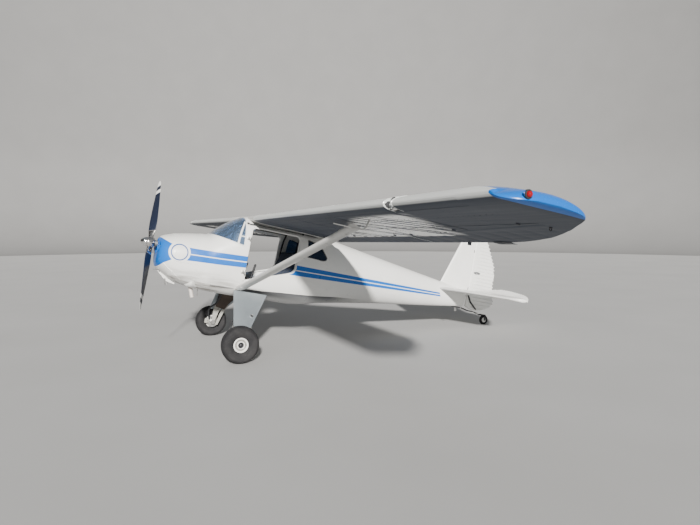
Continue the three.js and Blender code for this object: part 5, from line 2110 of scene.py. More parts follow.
@dataclass
class Struts:
    """Streamlined wing struts with their end fittings and tie-down rings."""

    foot: Vector = field(default_factory=lambda: Vector((0.012, 0.440, 0.640)))
    top: Vector = field(default_factory=lambda: Vector((0.312, 2.950, 1.497)))
    chord: float = 0.128
    thick: float = 0.052
    ring_at: tuple[float, float, float] = (0.287, 2.845, 1.418)

    def section(self, centre: Vector, grow: float = 0.0, count: int = 14) -> Ring:
        """Teardrop section across the strut, blunt end forward.

        Args:
            centre: Middle of the section.
            grow: Added thickness all round.
            count: Steps along each face.

        Returns:
            The section.
        """
        foil = Aerofoil(camber=0.0, thickness=self.thick / self.chord + grow / self.chord * 2)
        shares = [(1 - math.cos(math.pi * i / count)) / 2 for i in range(count + 1)]
        chord = self.chord + 2 * grow
        ring = [Vector((centre.x + chord * (t - 0.5), centre.y, centre.z + chord * foil.surface(t, True)))
                for t in reversed(shares)]
        return ring + [Vector((centre.x + chord * (t - 0.5), centre.y,
                               centre.z + chord * foil.surface(t, False) - (0.0006 if t == 1.0 else 0.0)))
                       for t in shares[1:]]

    def along(self, t: float) -> Vector:
        """Point on the strut's middle line."""
        return self.foot.lerp(self.top, t)

    def make(self) -> None:
        """Builds both struts."""
        bar = Shape().loft([self.section(self.along(t)) for t in steps(-0.01, 1.004, 12)])
        bar.tube([self.along(t) + Vector((self.chord * 0.47, 0, 0)) for t in steps(0.02, 0.985, 8)],
                 0.0016, 6)
        cuffs = Shape()
        for start, stop in ((0.0, 0.055), (0.935, 0.998)):
            cuffs.loft([self.section(self.along(t), 0.003) for t in steps(start, stop, 4)])
        for t in (0.015, 0.035, 0.952, 0.972):
            spot = self.along(t) + Vector((-0.012, 0, -self.thick / 2 - 0.001))
            cuffs.stud(spot, Vector((0, 0, -1)), 0.009, 0.007, 6)
            cuffs.stud(spot + Vector((0, 0, self.thick + 0.002)), Vector((0, 0, 1)), 0.009, 0.007, 6)
        eye = Shape()
        x, y, z = self.ring_at
        lug = [(x - 0.020, z + 0.058), (x - 0.020, z + 0.020), (x - 0.012, z + 0.004), (x, z),
               (x + 0.012, z + 0.004), (x + 0.020, z + 0.020), (x + 0.020, z + 0.058)]
        eye.loft([[(a, y + side * 0.0035, b) for a, b in lug] for side in (-1, 1)])
        hole = Matrix.Translation((x, y, z + 0.020)) @ Matrix.Rotation(math.pi / 2, 4, "X")
        eye = carve(eye, [Shape().rod(0.0085, -0.02, 0.02, 24, hole)])
        for side in Side:
            dress(f"strut_{side.word}", bar.mirrored(side), Finish.SILVER_PAINT,
                  replaces=[f"wing_strut_{side.word}"])
            dress(f"strut_cuffs_{side.word}", cuffs.mirrored(side), Finish.SILVER_PAINT,
                  crease=30)
            dress(f"tie_down_eye_{side.word}", eye.mirrored(side), Finish.BARE_STEEL,
                  bevel=0.0008)


@dataclass
class MainGear:
    """Main legs: an outer fairing sheet, inner straps, axle, brake, and the wheels."""

    track_half: float = 0.975
    leg_top: float = 0.608
    leg_foot: float = 0.196
    wheel_radius: float = TYRE_RADIUS
    tyre_half: float = 0.0825
    rim_radius: float = 0.092
    axle_radius: float = 0.019

    def way_down(self, z: float) -> float:
        """Share of the way down the leg at a height."""
        return (self.leg_top - z) / (self.leg_top - self.leg_foot)

    def leg_y(self, z: float) -> float:
        """Distance of the fairing sheet from the middle plane at a height."""
        return lerp(0.449, 0.834, self.way_down(z))

    def sheet_edges(self, z: float) -> tuple[float, float]:
        """Front and rear edge of the fairing sheet at a height."""
        t = self.way_down(z)
        return lerp(-0.074, -0.083, t), lerp(0.370, 0.127, t)

    def make_sheet(self, side: Side) -> None:
        """Outer fairing sheet with rolled edges, screws and the round brake port.

        Args:
            side: Left or right.
        """
        sheet = Shape()
        rings = []
        for z in steps(self.leg_top, self.leg_foot, 12):
            front, back = self.sheet_edges(z)
            ring = [Vector((lerp(front, back, t), self.leg_y(z) + 0.006 * math.sin(math.pi * t), z))
                    for t in steps(0, 1, 9)]
            rings.append(doubled(ring, (0, -0.0025, -0.0023)))
        sheet.loft(rings)
        for k in (0, 1):
            sheet.tube([(self.sheet_edges(z)[k], self.leg_y(z) - 0.001, z) for z in steps(0.606, 0.198, 12)],
                       0.0042, 10)
        out = Vector((0, 0.73, 0.69)).normalized()
        for z in steps(0.58, 0.23, 9):
            front, back = self.sheet_edges(z)
            for x in (front + 0.018, back - 0.018):
                sheet.stud(Vector((x, self.leg_y(z), z)), out, 0.005, 0.0016, 8)
        dress(f"gear_fairing_{side.word}", sheet.mirrored(side), Finish.FAIRING_SHEET,
              replaces=[f"gear_leg_{side.word}"])
        place = Matrix.Translation((0.149, self.leg_y(0.332) + 0.003,
                                    0.332)) @ out.to_track_quat("Z", "Y").to_matrix().to_4x4()
        port = Shape().lathe([(0.0, -0.004), (0.024, -0.004), (0.024, 0.004), (0.020, 0.010), (0.012, 0.013),
                              (0.0, 0.014)], 28, place)
        dress(f"brake_port_{side.word}", port.mirrored(side), Finish.POLISHED)

    def make_straps(self, side: Side) -> None:
        """Flat inner straps, the tube between them and the web above, dark brown for stains and painted
        shade.

        Args:
            side: Left or right.
        """
        straps = Shape()
        for foot, top in (((-0.022, 0.030), (-0.030, 0.052)), ((0.036, 0.074), (0.112, 0.172))):
            rings = []
            for z in (-0.034, 0.0, 0.10, 0.20, 0.24, 0.29):
                t = (z + 0.034) / 0.324
                y = min(0.8185, self.leg_y(z) - 0.016)
                front, back = lerp(foot[0], top[0], t), lerp(foot[1], top[1], t)
                rings.append([Vector((front, y, z)), Vector((front + 0.004, y - 0.008, z)),
                              Vector((back - 0.004, y - 0.008, z)), Vector((back, y, z))])
            straps.loft(rings)
        tube = [Vector((lerp(0.006, 0.080, t), min(0.808, self.leg_y(lerp(0.0, 0.30, t)) - 0.030),
                        lerp(0.0, 0.30, t))) for t in steps(0, 1, 8)]
        straps.tube(tube, 0.0105, 14)
        dress(f"gear_straps_{side.word}", straps.mirrored(side), Finish.GEAR_SILVER,
              crease=30)
        web = Shape()
        rings = []
        for z, front, back in ((0.604, -0.050, 0.325), (0.50, -0.046, 0.265), (0.40, -0.036, 0.205),
                               (0.300, -0.024, 0.150), (0.245, -0.016, 0.120)):
            y = self.leg_y(z) - 0.040
            ring = [Vector((lerp(front, back, t), y - 0.006 * math.sin(math.pi * t),
                            z - (0.03 * t if z < 0.28 else 0))) for t in steps(0, 1, 7)]
            rings.append(doubled(ring, (0, 0.003, 0.001)))
        web.loft(rings)
        for z in (0.55, 0.45, 0.35):
            for x in (-0.02, 0.06, 0.13):
                web.stud(Vector((x, self.leg_y(z) - 0.045, z)), Vector((0, -0.73, -0.69)), 0.006, 0.003, 8)
        dress(f"gear_web_{side.word}", web.mirrored(side), Finish.STAINED_SHADED_SHEET)

    def make_brake(self, side: Side) -> None:
        """Axle, brake disc, caliper and hose.

        Args:
            side: Left or right.
        """
        axle = Matrix.Rotation(-math.pi / 2, 4, "X")
        parts = Shape().lathe([(0.0, 0.796), (0.030, 0.796), (0.033, 0.802), (0.033, 0.845),
                               (self.axle_radius, 0.852), (self.axle_radius, 1.0185), (0.0, 1.0185)],
                              36, axle)
        parts.lathe([(0.0268, 0.8545), (0.078, 0.8545), (0.080, 0.8565), (0.080, 0.8605), (0.078, 0.8625),
                     (0.0268, 0.8625)], 48, axle)
        dress(f"axle_{side.word}", parts.mirrored(side), Finish.BARE_STEEL)
        caliper = Shape().block((-0.116, 0.840, -0.030), (-0.056, 0.853, 0.040))
        caliper.block((-0.116, 0.864, -0.030), (-0.070, 0.878, 0.038))
        caliper.block((-0.118, 0.852, -0.024), (-0.092, 0.866, 0.032))
        for z in (-0.014, 0.022):
            caliper.tube([(-0.088, 0.822, z), (-0.088, 0.880, z)], 0.014, 16)
        dress(f"brake_caliper_{side.word}", caliper.mirrored(side), Finish.GEAR_SILVER,
              bevel=0.003)
        hose = Shape().tube([(-0.060, 0.828, 0.040), (-0.082, 0.815, 0.096),
                             (-0.104, 0.780, 0.170), (-0.096, 0.735, 0.226),
                             (-0.040, 0.672, 0.290), (-0.022, 0.600, 0.370),
                             (-0.012, 0.520, 0.460), (-0.006, 0.440, 0.560)], 0.0125, 14)
        dress(f"brake_hose_{side.word}", hose.mirrored(side), Finish.PANEL)

    def make_leg(self, side: Side) -> None:
        """One leg with its brake.

        Args:
            side: Left or right.
        """
        self.make_sheet(side)
        self.make_straps(side)
        self.make_brake(side)

    def tyre(self) -> Shape:
        """Balloon tyre with round grooves in its tread and ribs on its shoulders.

        Returns:
            The tyre about its own axis.
        """
        half, outer, inner = self.tyre_half, self.wheel_radius, self.rim_radius
        crown = outer - half * 0.62
        profile = [(inner, -half * 0.60), (inner + 0.004, -half * 0.66), (inner + 0.010, -half * 0.70)]
        count = 88
        grooves = (-0.030, -0.010, 0.010, 0.030)
        for i in range(count + 1):
            a = -math.pi / 2 + math.pi * i / count
            r, h = crown + half * 0.62 * math.cos(a), half * math.sin(a)
            if abs(math.degrees(a)) > 84:
                continue
            cut = max((max(0.0, 1 - abs(h - g) / 0.0022) for g in grooves), default=0.0)
            ridge = 0.0012 if 0.062 < abs(h) < 0.066 or 0.072 < abs(h) < 0.0745 else 0.0
            profile.append((r - 0.0045 * cut ** 0.5 - ridge, h * (1 - ridge * 8)))
        profile += [(inner + 0.010, half * 0.70), (inner + 0.004, half * 0.66), (inner, half * 0.60)]
        return Shape().lathe(profile, 128)

    def shoulder_ribs(self) -> Shape:
        """Short ribs round both shoulders of the tyre.

        Returns:
            The ribs.
        """
        ribs = Shape()
        half, crown = self.tyre_half, self.wheel_radius - self.tyre_half * 0.62
        for sign in (-1, 1):
            for angle, size in ((58, 0.0026), (71, 0.0022), (80, 0.0020)):
                a = math.radians(angle)
                r, h = crown + half * 0.62 * math.cos(a), sign * (half * math.sin(a) - 0.0006)
                ribs.lathe([(r - size, h), (r, h + size), (r + size, h), (r, h - size), (r - size, h)], 96)
        for sign in (-1, 1):
            for k in range(72):
                turn = Matrix.Rotation(2 * math.pi * k / 72, 4, "Z")
                path = [turn @ Vector((crown + half * 0.62 * math.cos(a) - 0.001, 0,
                                       sign * (half * math.sin(a) - 0.0008)))
                        for a in steps(math.radians(30), math.radians(52), 5)]
                ribs.tube(path, 0.0022, 5)
        return ribs

    def wheel(self) -> Shape:
        """Pressed wheel with a turned rim, six bolts and a dark bearing recess.

        Returns:
            The wheel about its own axis.
        """
        bore = self.axle_radius + 0.0008
        rim = self.rim_radius - 0.0004
        profile = [(bore, -0.058), (0.060, -0.056), (0.070, -0.050), (rim, -0.050), (rim, 0.049),
                   (rim - 0.002, 0.053), (0.086, 0.0560), (0.081, 0.0560), (0.077, 0.053), (0.070, 0.046),
                   (0.0665, 0.030), (0.062, 0.027), (0.053, 0.027), (0.0495, 0.031), (0.0485, 0.050),
                   (0.0465, 0.0535), (0.041, 0.0535), (0.0375, 0.051), (0.036, 0.042), (0.024, 0.040),
                   (bore, 0.040)]
        shape = Shape().lathe(profile, 72)
        for k in range(6):
            turn = Matrix.Rotation(2 * math.pi * k / 6, 4, "Z")
            shape.stud(turn @ Vector((0.0575, 0, 0.027)), Vector((0, 0, 1)), 0.0052, 0.012, 6)
        return shape

    def make_wheel(self, side: Side) -> None:
        """One wheel with its tyre, hub, cap and valve.

        Args:
            side: Left or right.
        """
        place = (GROUND @ Matrix.Translation((0, side.value * self.track_half, self.wheel_radius))
                 @ Matrix.Rotation(-side.value * math.pi / 2, 4, "X"))
        body = f"wheel_{side.word}"
        dress(f"tyre_rubber_{side.word}", self.tyre().add(self.shoulder_ribs()), Finish.TYRE,
              body=body, replaces=[f"tyre_{side.word}"], place=place, crease=50)
        dress(f"wheel_disc_{side.word}", self.wheel(), Finish.WHEEL_DISC, body=body,
              replaces=[f"wheel_{side.word}"], place=place, crease=40)
        cap = Shape().lathe([(0.0, 0.041), (0.0355, 0.041), (0.0355, 0.046), (0.033, 0.048), (0.030, 0.046),
                             (0.020, 0.046), (0.018, 0.060), (0.010, 0.064), (0.0, 0.064)], 36)
        for k in range(3):
            turn = Matrix.Rotation(2 * math.pi * k / 3, 4, "Z")
            cap.stud(turn @ Vector((0.026, 0, 0.046)), Vector((0, 0, 1)), 0.003, 0.004, 6)
        cap.tube([(0.058, 0, 0.026), (0.062, 0, 0.045), (0.064, 0, 0.058)],
                 [0.004, 0.004, 0.003], 10)
        dress(f"bearing_cap_{side.word}", cap, Finish.DARK_STEEL, body=body, place=place)

    def make(self) -> None:
        """Builds both legs and wheels."""
        for side in Side:
            self.make_leg(side)
            self.make_wheel(side)


@dataclass
class Propeller:
    """Two-bladed propeller with its bolted hub and polished dome."""

    radius: float = 0.914
    place_x: float = -1.150
    thrust_z: float = 1.023
    turn: float = math.radians(-24)
    hand: float = -1.0
    rows: tuple[tuple[float, float, float, float], ...] = ((0.0, 0.070, 0.062, 60),
                                                           (0.090, 0.078, 0.052, 52),
                                                           (0.180, 0.118, 0.034, 42),
                                                           (0.330, 0.150, 0.024, 32),
                                                           (0.520, 0.152, 0.018, 25),
                                                           (0.700, 0.132, 0.013, 20),
                                                           (0.840, 0.104, 0.009, 17),
                                                           (0.895, 0.070, 0.007, 16),
                                                           (0.914, 0.024, 0.005, 16))

    def blade(self) -> Shape:
        """One blade: rounded nose, curved front face and flatter back face.

        Returns:
            The blade, standing along Z.
        """
        radii = [row[0] for row in self.rows]
        chord, thick, twist = (fair_line(radii, [row[k] for row in self.rows]) for k in (1, 2, 3))
        stations = steps(0.0, 0.86, 36) + [0.872, 0.884, 0.893, 0.900, 0.906, 0.910, 0.913, self.radius]
        rings = []
        for r in stations:
            turn = math.radians(twist(r))
            ring = []
            for i in range(32):
                a = 2 * math.pi * i / 32
                u = chord(r) / 2 * math.cos(a)
                sharp = lerp(1.0, 0.72 + 0.28 * math.cos(a), min(1.0, r / 0.25))
                v = thick(r) / 2 * math.sin(a) * sharp * (0.9 if math.sin(a) > 0 else 1.0)
                ring.append(Vector((self.hand * u * math.sin(turn) + v * math.cos(turn),
                                    u * math.cos(turn) - self.hand * v * math.sin(turn), r)))
            rings.append(ring)
        return Shape().loft(rings)

    def make(self) -> None:
        """Builds the propeller."""
        place = LEVEL @ Matrix.Translation((self.place_x, 0,
                                            self.thrust_z)) @ Matrix.Rotation(self.turn, 4, "X")
        blade = self.blade()
        blades = Shape().add(blade).add(blade, Matrix.Rotation(math.pi, 4, "X"))
        along = Matrix.Rotation(math.pi / 2, 4, "Y")
        blades.lathe([(0.0, -0.046), (0.060, -0.046), (0.066, -0.042), (0.068, -0.030), (0.068, 0.036),
                      (0.064, 0.0435), (0.0, 0.0435)], 48, along)
        dress("propeller_blades", blades, Finish.BLADE, body="propeller",
              replaces=["propeller"], place=place, crease=50)
        plate = Shape().lathe([(0.030, -0.0512), (0.058, -0.0512), (0.060, -0.0495), (0.060, -0.0463),
                               (0.030, -0.0463)], 48, along)
        for k in range(6):
            a = 2 * math.pi * k / 6
            plate.stud(Vector((-0.0512, 0.045 * math.cos(a), 0.045 * math.sin(a))), Vector((-1, 0, 0)),
                       0.0075, 0.008, 6)
        dress("propeller_crush_plate", plate, Finish.BARE_STEEL, body="propeller", place=place)
        cap_place = LEVEL @ Matrix.Translation((self.place_x - 0.0463, 0, self.thrust_z)) @ Matrix.Rotation(
            -math.pi / 2, 4, "Y")
        dome = [(0.0, 0.0), (0.0615, 0.0), (0.062, 0.002), (0.0605, 0.016), (0.055, 0.034), (0.044, 0.051),
                (0.030, 0.064), (0.015, 0.0725), (0.0, 0.0758)]
        dress("propeller_dome", Shape().lathe(dome, 56), Finish.POLISHED,
              body="propeller", replaces=["propeller_cap"], place=cap_place)


@dataclass
class TailSurface:
    """One flat tail surface between a front and a rear edge, with a fair thickness and pressed beads."""

    front: tuple[Point, ...]
    rear: tuple[Point, ...]
    thick: float
    edge: float
    stations: tuple[float, float, int]
    bead_pitch: float = 0.0
    bead_height: float = 0.0085
    bead_phase: float = 0.0
    scallop: float = 2.2
    nose: float = 0.0

    def shape(self, up: bool) -> Shape:
        """The surface, standing on edge in XZ when up is set, else lying in XY with Z as its depth.

        Args:
            up: Stands the surface on edge.

        Returns:
            The surface.
        """
        start, stop, count = self.stations
        shares = [(1 - math.cos(math.pi * i / 22)) / 2 for i in range(23)]
        rings = []
        for s in steps(start, stop, count):
            front, rear = follow(self.front, s), follow(self.rear, s)
            chord = max(0.004, rear - front)
            end = min(1.0, min(s - start, stop - s) / 0.03 + 0.25)
            high, low = [], []
            for t in shares:
                if self.nose:
                    ahead = t * chord
                    half = math.sqrt(max(0.0, 1 - (1 - min(1.0, ahead / self.nose)) ** 2)) * self.thick / 2
                    half = lerp(half, self.edge / 2,
                                min(1.0, max(0.0, (ahead - self.nose) / (chord - self.nose + 1e-6))))
                else:
                    half = math.sqrt(max(0.0, 1 - (1 - min(1.0, t / 0.35)) ** 2)) * self.thick / 2
                bead = 0.0
                if self.bead_pitch:
                    phase = abs(((s - self.bead_phase) / self.bead_pitch) % 1.0 - 0.5) * 2
                    bead = self.bead_height * max(0.0, 1 - phase / 0.42) ** 0.6
                    bead *= min(1.0, max(0.0, (t * chord - 0.07) / 0.04))
                half = half * end + bead
                x = front + t * chord + (self.scallop * bead if t > 0.999 else 0.0)
                high.append((x, half))
                low.append((x, -half))
            outline = [*reversed(high), *low[1:]]
            rings.append([Vector((x, d, s)) if up else Vector((x, s, d)) for x, d in outline])
        return Shape().loft(rings)


@dataclass
class Tail:
    """Fin, rudder, stabiliser and elevators, with beads, hinges and the rudder's tab."""

    fin_hinge_x: float = 3.965
    stab_z: float = 1.158
    stab_pitch: float = math.radians(-2.5)
    elevator_up: float = math.radians(14)
    elevator_hinge_x: float = 3.905

    def about_hinge(self, angle: float) -> Matrix:
        """Turns a lying surface about the elevator hinge, positive with its rear edge down."""
        here = Matrix.Translation((self.elevator_hinge_x, 0, self.stab_z))
        return here @ Matrix.Rotation(angle, 4, "Y")

    def from_hinge(self, lying: Shape) -> Shape:
        """A lying surface with its X measured from the elevator hinge."""
        return Shape([v - Vector((self.elevator_hinge_x, 0, 0)) for v in lying.verts], lying.faces)

    def make_fin(self) -> None:
        """The fin with its tip, seams and hinge lugs."""
        back = self.fin_hinge_x - 0.034
        fin = TailSurface(front=((1.10, 3.372), (1.246, 3.372), (2.075, 3.690), (2.118, 3.720),
                                 (2.138, 3.770), (2.1478, 3.90)), rear=((1.10, back), (2.148, back)),
                          thick=0.062, edge=0.060, stations=(1.12, 2.1476, 80))
        shape = fin.shape(up=True)
        dress("fin_skin", shape, Finish.WHITE_PAINT, replaces=["fin"])
        marks = Shape()
        for z in (1.330, 1.720, 2.110):
            marks.block((back - 0.006, -0.008, z - 0.012), (self.fin_hinge_x - 0.0255, 0.008, z + 0.012))
        for z in (1.210, 1.848):
            for y in (-0.0312, 0.0312):
                marks.block((back - 0.012, y - 0.0012, z - 0.022), (back - 0.001, y + 0.0012, z + 0.022))
        dress("rudder_hinges", marks, Finish.DARK_STEEL, bevel=0.001)
        seams = Shape()
        for y in (-1, 1):
            seams.tube([(3.60, y * 0.0312, z) for z in (1.26, 1.80)], 0.0012, 6)
            for z in steps(1.26, 2.10, 22):
                seams.stud(Vector((back - 0.020, y * 0.0308, z)), Vector((0, y, 0)), 0.004, 0.0014)
        dress("fin_rivets", seams, Finish.WHITE_PAINT)

    def make_rudder(self) -> None:
        """The rudder with its beads, tab and plates."""
        front = ((0.862, 4.090), (0.905, self.fin_hinge_x - 0.024), (2.152, self.fin_hinge_x - 0.024))
        rear = ((0.862, 4.110), (0.872, 4.230), (0.910, 4.335), (0.950, 4.440), (1.010, 4.500),
                (1.070, 4.505), (1.310, 4.440), (1.560, 4.418), (1.660, 4.400), (2.060, 4.175),
                (2.118, 4.140), (2.140, 4.09), (2.152, 4.03))
        rudder = TailSurface(front=front, rear=rear, thick=0.050, edge=0.010, stations=(0.8645, 2.1515, 240),
                             bead_pitch=0.058, bead_phase=0.93, nose=0.025)
        shape = rudder.shape(up=True)
        dress("rudder_skin", shape, Finish.WHITE_PAINT, body="rudder", replaces=["rudder"])
        plates = Shape()
        for y in (-1, 1):
            ring = [Vector((4.059 + 0.068 * math.cos(a), y * 0.0275, 1.492 + 0.022 * math.sin(a)))
                    for a in turns(32)]
            lower = [Vector((v.x, y * 0.016, v.z)) for v in ring]
            plates.loft([lower, ring])
        dress("rudder_plate", plates, Finish.ENGINE_GREY, body="rudder")
        tab = Shape().block((4.395, -0.003, 1.405), (4.447, 0.003, 1.525))
        dress("rudder_tab", tab, Finish.WHITE_PAINT, body="rudder", bevel=0.001)
        horn = Shape()
        for y in (-0.032, 0.032):
            horn.tube([(3.960, y, 1.095), (4.020, y, 0.992), (4.064, y, 0.956),
                       (4.160, y, 0.882)], [0.013, 0.014, 0.014, 0.011], 12)
        dress("rudder_horn", horn, Finish.DARK_STEEL, body="rudder")

    def make_stabiliser(self, side: Side) -> None:
        """One half of the stabiliser.

        Args:
            side: Left or right.
        """
        back = self.elevator_hinge_x - 0.030
        stab = TailSurface(front=((0.0, 3.268), (0.110, 3.282), (1.360, 3.690), (1.415, 3.730),
                                  (1.452, 3.780), (1.475, 3.830), (1.482, 3.868)),
                           rear=((0.0, back), (1.482, back)), thick=0.052, edge=0.05,
                           stations=(0.020, 1.4815, 60))
        shape = self.from_hinge(stab.shape(up=False))
        turned = Shape().add(shape.mirrored(side), self.about_hinge(self.stab_pitch))
        dress(f"stabiliser_skin_{side.word}", turned, Finish.WHITE_PAINT,
              replaces=[f"stabiliser_{side.word}"])
        trim = Shape()
        for z in (-1, 1):
            for y in steps(0.16, 1.42, 32):
                trim.stud(Vector((-0.048, y, z * 0.0258)), Vector((0, 0, z)), 0.004, 0.0014)
            trim.tube([(-0.34, 0.14, z * 0.0258), (-0.12, 1.40, z * 0.0258)], 0.0012, 6)
        for y in (0.22, 0.80, 1.36):
            trim.block((-0.034, y - 0.010, -0.009), (-0.0235, y + 0.010, 0.009))
        turned = Shape().add(trim.mirrored(side), self.about_hinge(self.stab_pitch))
        dress(f"stabiliser_rivets_{side.word}", turned, Finish.WHITE_PAINT)

    def make_elevators(self) -> None:
        """Both elevators on their torque tube, with beads."""
        nose = self.elevator_hinge_x - 0.0215
        elevator = TailSurface(front=((0.110, nose), (1.478, nose)), rear=((0.110, 3.906), (0.125, 3.990),
                                                                           (0.200, 4.175), (0.300, 4.405),
                                                                           (0.520, 4.385), (0.820, 4.300),
                                                                           (1.050, 4.225), (1.210, 4.120),
                                                                           (1.320, 4.030), (1.410, 3.960),
                                                                           (1.462, 3.910), (1.478, 3.9)),
                               thick=0.044, edge=0.009, stations=(0.1103, 1.4777, 220), bead_pitch=0.068,
                               bead_phase=0.02, nose=0.0215)
        base = self.from_hinge(elevator.shape(up=False))
        both = Shape()
        for side in Side:
            both.add(base.mirrored(side), self.about_hinge(-self.elevator_up))
        both.tube([(self.elevator_hinge_x, -0.116, self.stab_z),
                   (self.elevator_hinge_x, 0.116, self.stab_z)], 0.0128, 24)
        dress("elevator_skin", both, Finish.WHITE_PAINT, body="elevators",
              replaces=["elevators"])

    def make(self) -> None:
        """Builds the tail."""
        self.make_fin()
        self.make_rudder()
        for side in Side:
            self.make_stabiliser(side)
        self.make_elevators()


@dataclass
class TailWheel:
    """Leaf spring, castering fork and small wheel."""

    radius: float = 0.080
    half: float = 0.026
    rim: float = 0.044

    def __post_init__(self) -> None:
        """Places the wheel and its pivot above the ground."""
        self.wheel_x = middle_of("tail_wheel_tyre").x - AXLE_X
        self.pivot_x = self.wheel_x - 0.078
        self.pad_z = self.radius + 0.096

    @staticmethod
    def parked(x: float, z: float) -> tuple[float, float]:
        """Level X and Z as ground X and Z."""
        c, s = math.cos(TAIL_DOWN), math.sin(TAIL_DOWN)
        return x * c + z * s, TYRE_RADIUS - x * s + z * c

    def make_spring(self) -> None:
        """Three stacked leaves with clamps."""
        path = [self.parked(3.690, 0.868), self.parked(3.86, 0.866), self.parked(4.02, 0.836),
                (lerp(self.parked(4.02, 0.836)[0], self.pivot_x - 0.04, 0.5), 0.232),
                (self.pivot_x - 0.050, self.pad_z + 0.012), (self.pivot_x + 0.026, self.pad_z + 0.008)]
        smooth = smooth_path(path, 28)
        leaves = Shape()
        for k, reach in enumerate((1.0, 0.80, 0.58)):
            points = smooth[: max(4, round(len(smooth) * reach))]
            rings = []
            for i, (x, z) in enumerate(points):
                ahead = points[min(i + 1, len(points) - 1)]
                behind = points[max(i - 1, 0)]
                tangent = Vector((ahead[0] - behind[0], ahead[1] - behind[1])).normalized()
                normal = Vector((-tangent.y, tangent.x))
                low, high = 0.0062 * k - 0.0045, 0.0062 * k + 0.0012
                wide = 0.0195 - 0.0006 * k
                rings.append([Vector((x + normal.x * h, y, z + normal.y * h))
                              for y, h in ((-wide, low), (wide, low), (wide, high), (-wide, high))])
            leaves.loft(rings)
        dress("tail_leaf_spring", leaves, Finish.DARK_STEEL,
              replaces=["tail_spring"], place=GROUND, bevel=0.0008, crease=30)
        lug_x, lug_z = self.parked(3.760, 0.840)
        clamps = Shape()
        clamps.block((lug_x - 0.020, -0.0065, lug_z - 0.0415), (lug_x + 0.020, 0.0065, lug_z + 0.020))
        hole = Matrix.Translation((lug_x, 0, lug_z - 0.022)) @ Matrix.Rotation(math.pi / 2, 4, "X")
        clamps = carve(clamps, [Shape().rod(0.008, -0.02, 0.02, 20, hole)])
        for x, z in (smooth[5], smooth[20]):
            clamps.block((x - 0.010, -0.023, z - 0.008), (x + 0.010, 0.023, z + 0.016))
        dress("tail_spring_clamps", clamps, Finish.BARE_STEEL, place=GROUND,
              bevel=0.0012)

    def make_fork(self) -> None:
        """Fork crown, arms and axle."""
        at = Matrix.Translation((self.pivot_x, 0, 0))
        fork = Shape().lathe([(0.0, self.pad_z - 0.012), (0.023, self.pad_z - 0.012),
                              (0.024, self.pad_z - 0.009), (0.024, self.pad_z - 0.002),
                              (0.021, self.pad_z - 0.0004), (0.0, self.pad_z - 0.0004)], 36, at)
        fork.block((self.pivot_x - 0.020, -0.044, self.pad_z - 0.011),
                   (self.wheel_x + 0.012, 0.044, self.pad_z - 0.005))
        for sign in (-1, 1):
            low, high = sorted((sign * 0.0375, sign * 0.0438))
            outline = [(self.wheel_x - 0.020, self.pad_z - 0.006), (self.wheel_x - 0.014, self.radius),
                       (self.wheel_x - 0.010, self.radius - 0.010), (self.wheel_x, self.radius - 0.014),
                       (self.wheel_x + 0.010, self.radius - 0.010), (self.wheel_x + 0.014, self.radius),
                       (self.wheel_x + 0.016, self.pad_z - 0.006)]
            fork.loft([[(x, y, z) for x, z in outline] for y in (low, high)])
            axle = Matrix.Translation((self.wheel_x, 0,
                                       self.radius)) @ Matrix.Rotation(-sign * math.pi / 2, 4, "X")
            fork.lathe([(0.0, 0.030), (0.006, 0.030), (0.006, 0.040), (0.006, 0.0445), (0.0, 0.0445)],
                       20, axle)
            fork.stud(Vector((self.wheel_x, sign * 0.0436, self.radius)), Vector((0, sign, 0)), 0.010,
                      0.004, 6)
        dress("tail_fork", fork, Finish.DARK_STEEL, body="tail_fork",
              replaces=["tail_wheel_fork"], place=GROUND, bevel=0.0012)

    def make_wheel(self) -> None:
        """Solid tyre on a white hub."""
        place = GROUND @ Matrix.Translation((self.wheel_x, 0,
                                             self.radius)) @ Matrix.Rotation(math.pi / 2, 4, "X")
        crown = self.radius - self.half * 0.62
        profile = [(self.rim, -self.half * 0.62)]
        for a in steps(-math.pi / 2, math.pi / 2, 41):
            h = self.half * math.sin(a)
            groove = 0.0016 if 0.0068 < abs(h) < 0.0098 else 0.0
            profile.append((crown + self.half * 0.62 * math.cos(a) - groove, h))
        profile.append((self.rim, self.half * 0.62))
        dress("tail_tyre_rubber", Shape().lathe(profile, 72), Finish.TYRE, body="tail_wheel",
              replaces=["tail_wheel_tyre"], place=place, crease=50)
        hub = [(0.0068, -0.0295), (0.018, -0.0295), (0.020, -0.027), (0.024, -0.019), (0.036, -0.0125),
               (0.040, -0.0150), (self.rim - 0.0005, -0.0158), (self.rim - 0.0005, 0.0158), (0.040, 0.0150),
               (0.036, 0.0125), (0.024, 0.019), (0.020, 0.027), (0.018, 0.0295), (0.0068, 0.0295)]
        shape = Shape().lathe(hub, 60)
        for k in range(5):
            for sign in (-1, 1):
                a = 2 * math.pi * k / 5
                shape.stud(Vector((0.030 * math.cos(a), 0.030 * math.sin(a), sign * 0.0158)),
                           Vector((0, 0, sign)), 0.0032, 0.003, 6)
        dress("tail_hub", shape, Finish.WHITE_PAINT, body="tail_wheel",
              replaces=["tail_wheel_hub"], place=place, crease=40)

    def make(self) -> None:
        """Builds the tail wheel."""
        self.make_spring()
        self.make_fork()
        self.make_wheel()


def smooth_path(points: Sequence[Point], count: int) -> list[Point]:
    """A rounded run through points, by a spline that meets each one.

    Args:
        points: Points to meet.
        count: Points to make.

    Returns:
        The run.
    """
    made = []
    rows = [Vector(p) for p in points]
    rows = [rows[0] * 2 - rows[1], *rows, rows[-1] * 2 - rows[-2]]
    spans = len(rows) - 3
    for t in steps(0, spans, count):
        i = min(int(t), spans - 1)
        u = t - i
        a, b, c, d = rows[i:i + 4]
        point = 0.5 * (2 * b + (c - a) * u + (2 * a - 5 * b + 4 * c - d) * u ** 2
                       + (3 * b - 3 * c + d - a) * u ** 3)
        made.append((point.x, point.y))
    return made


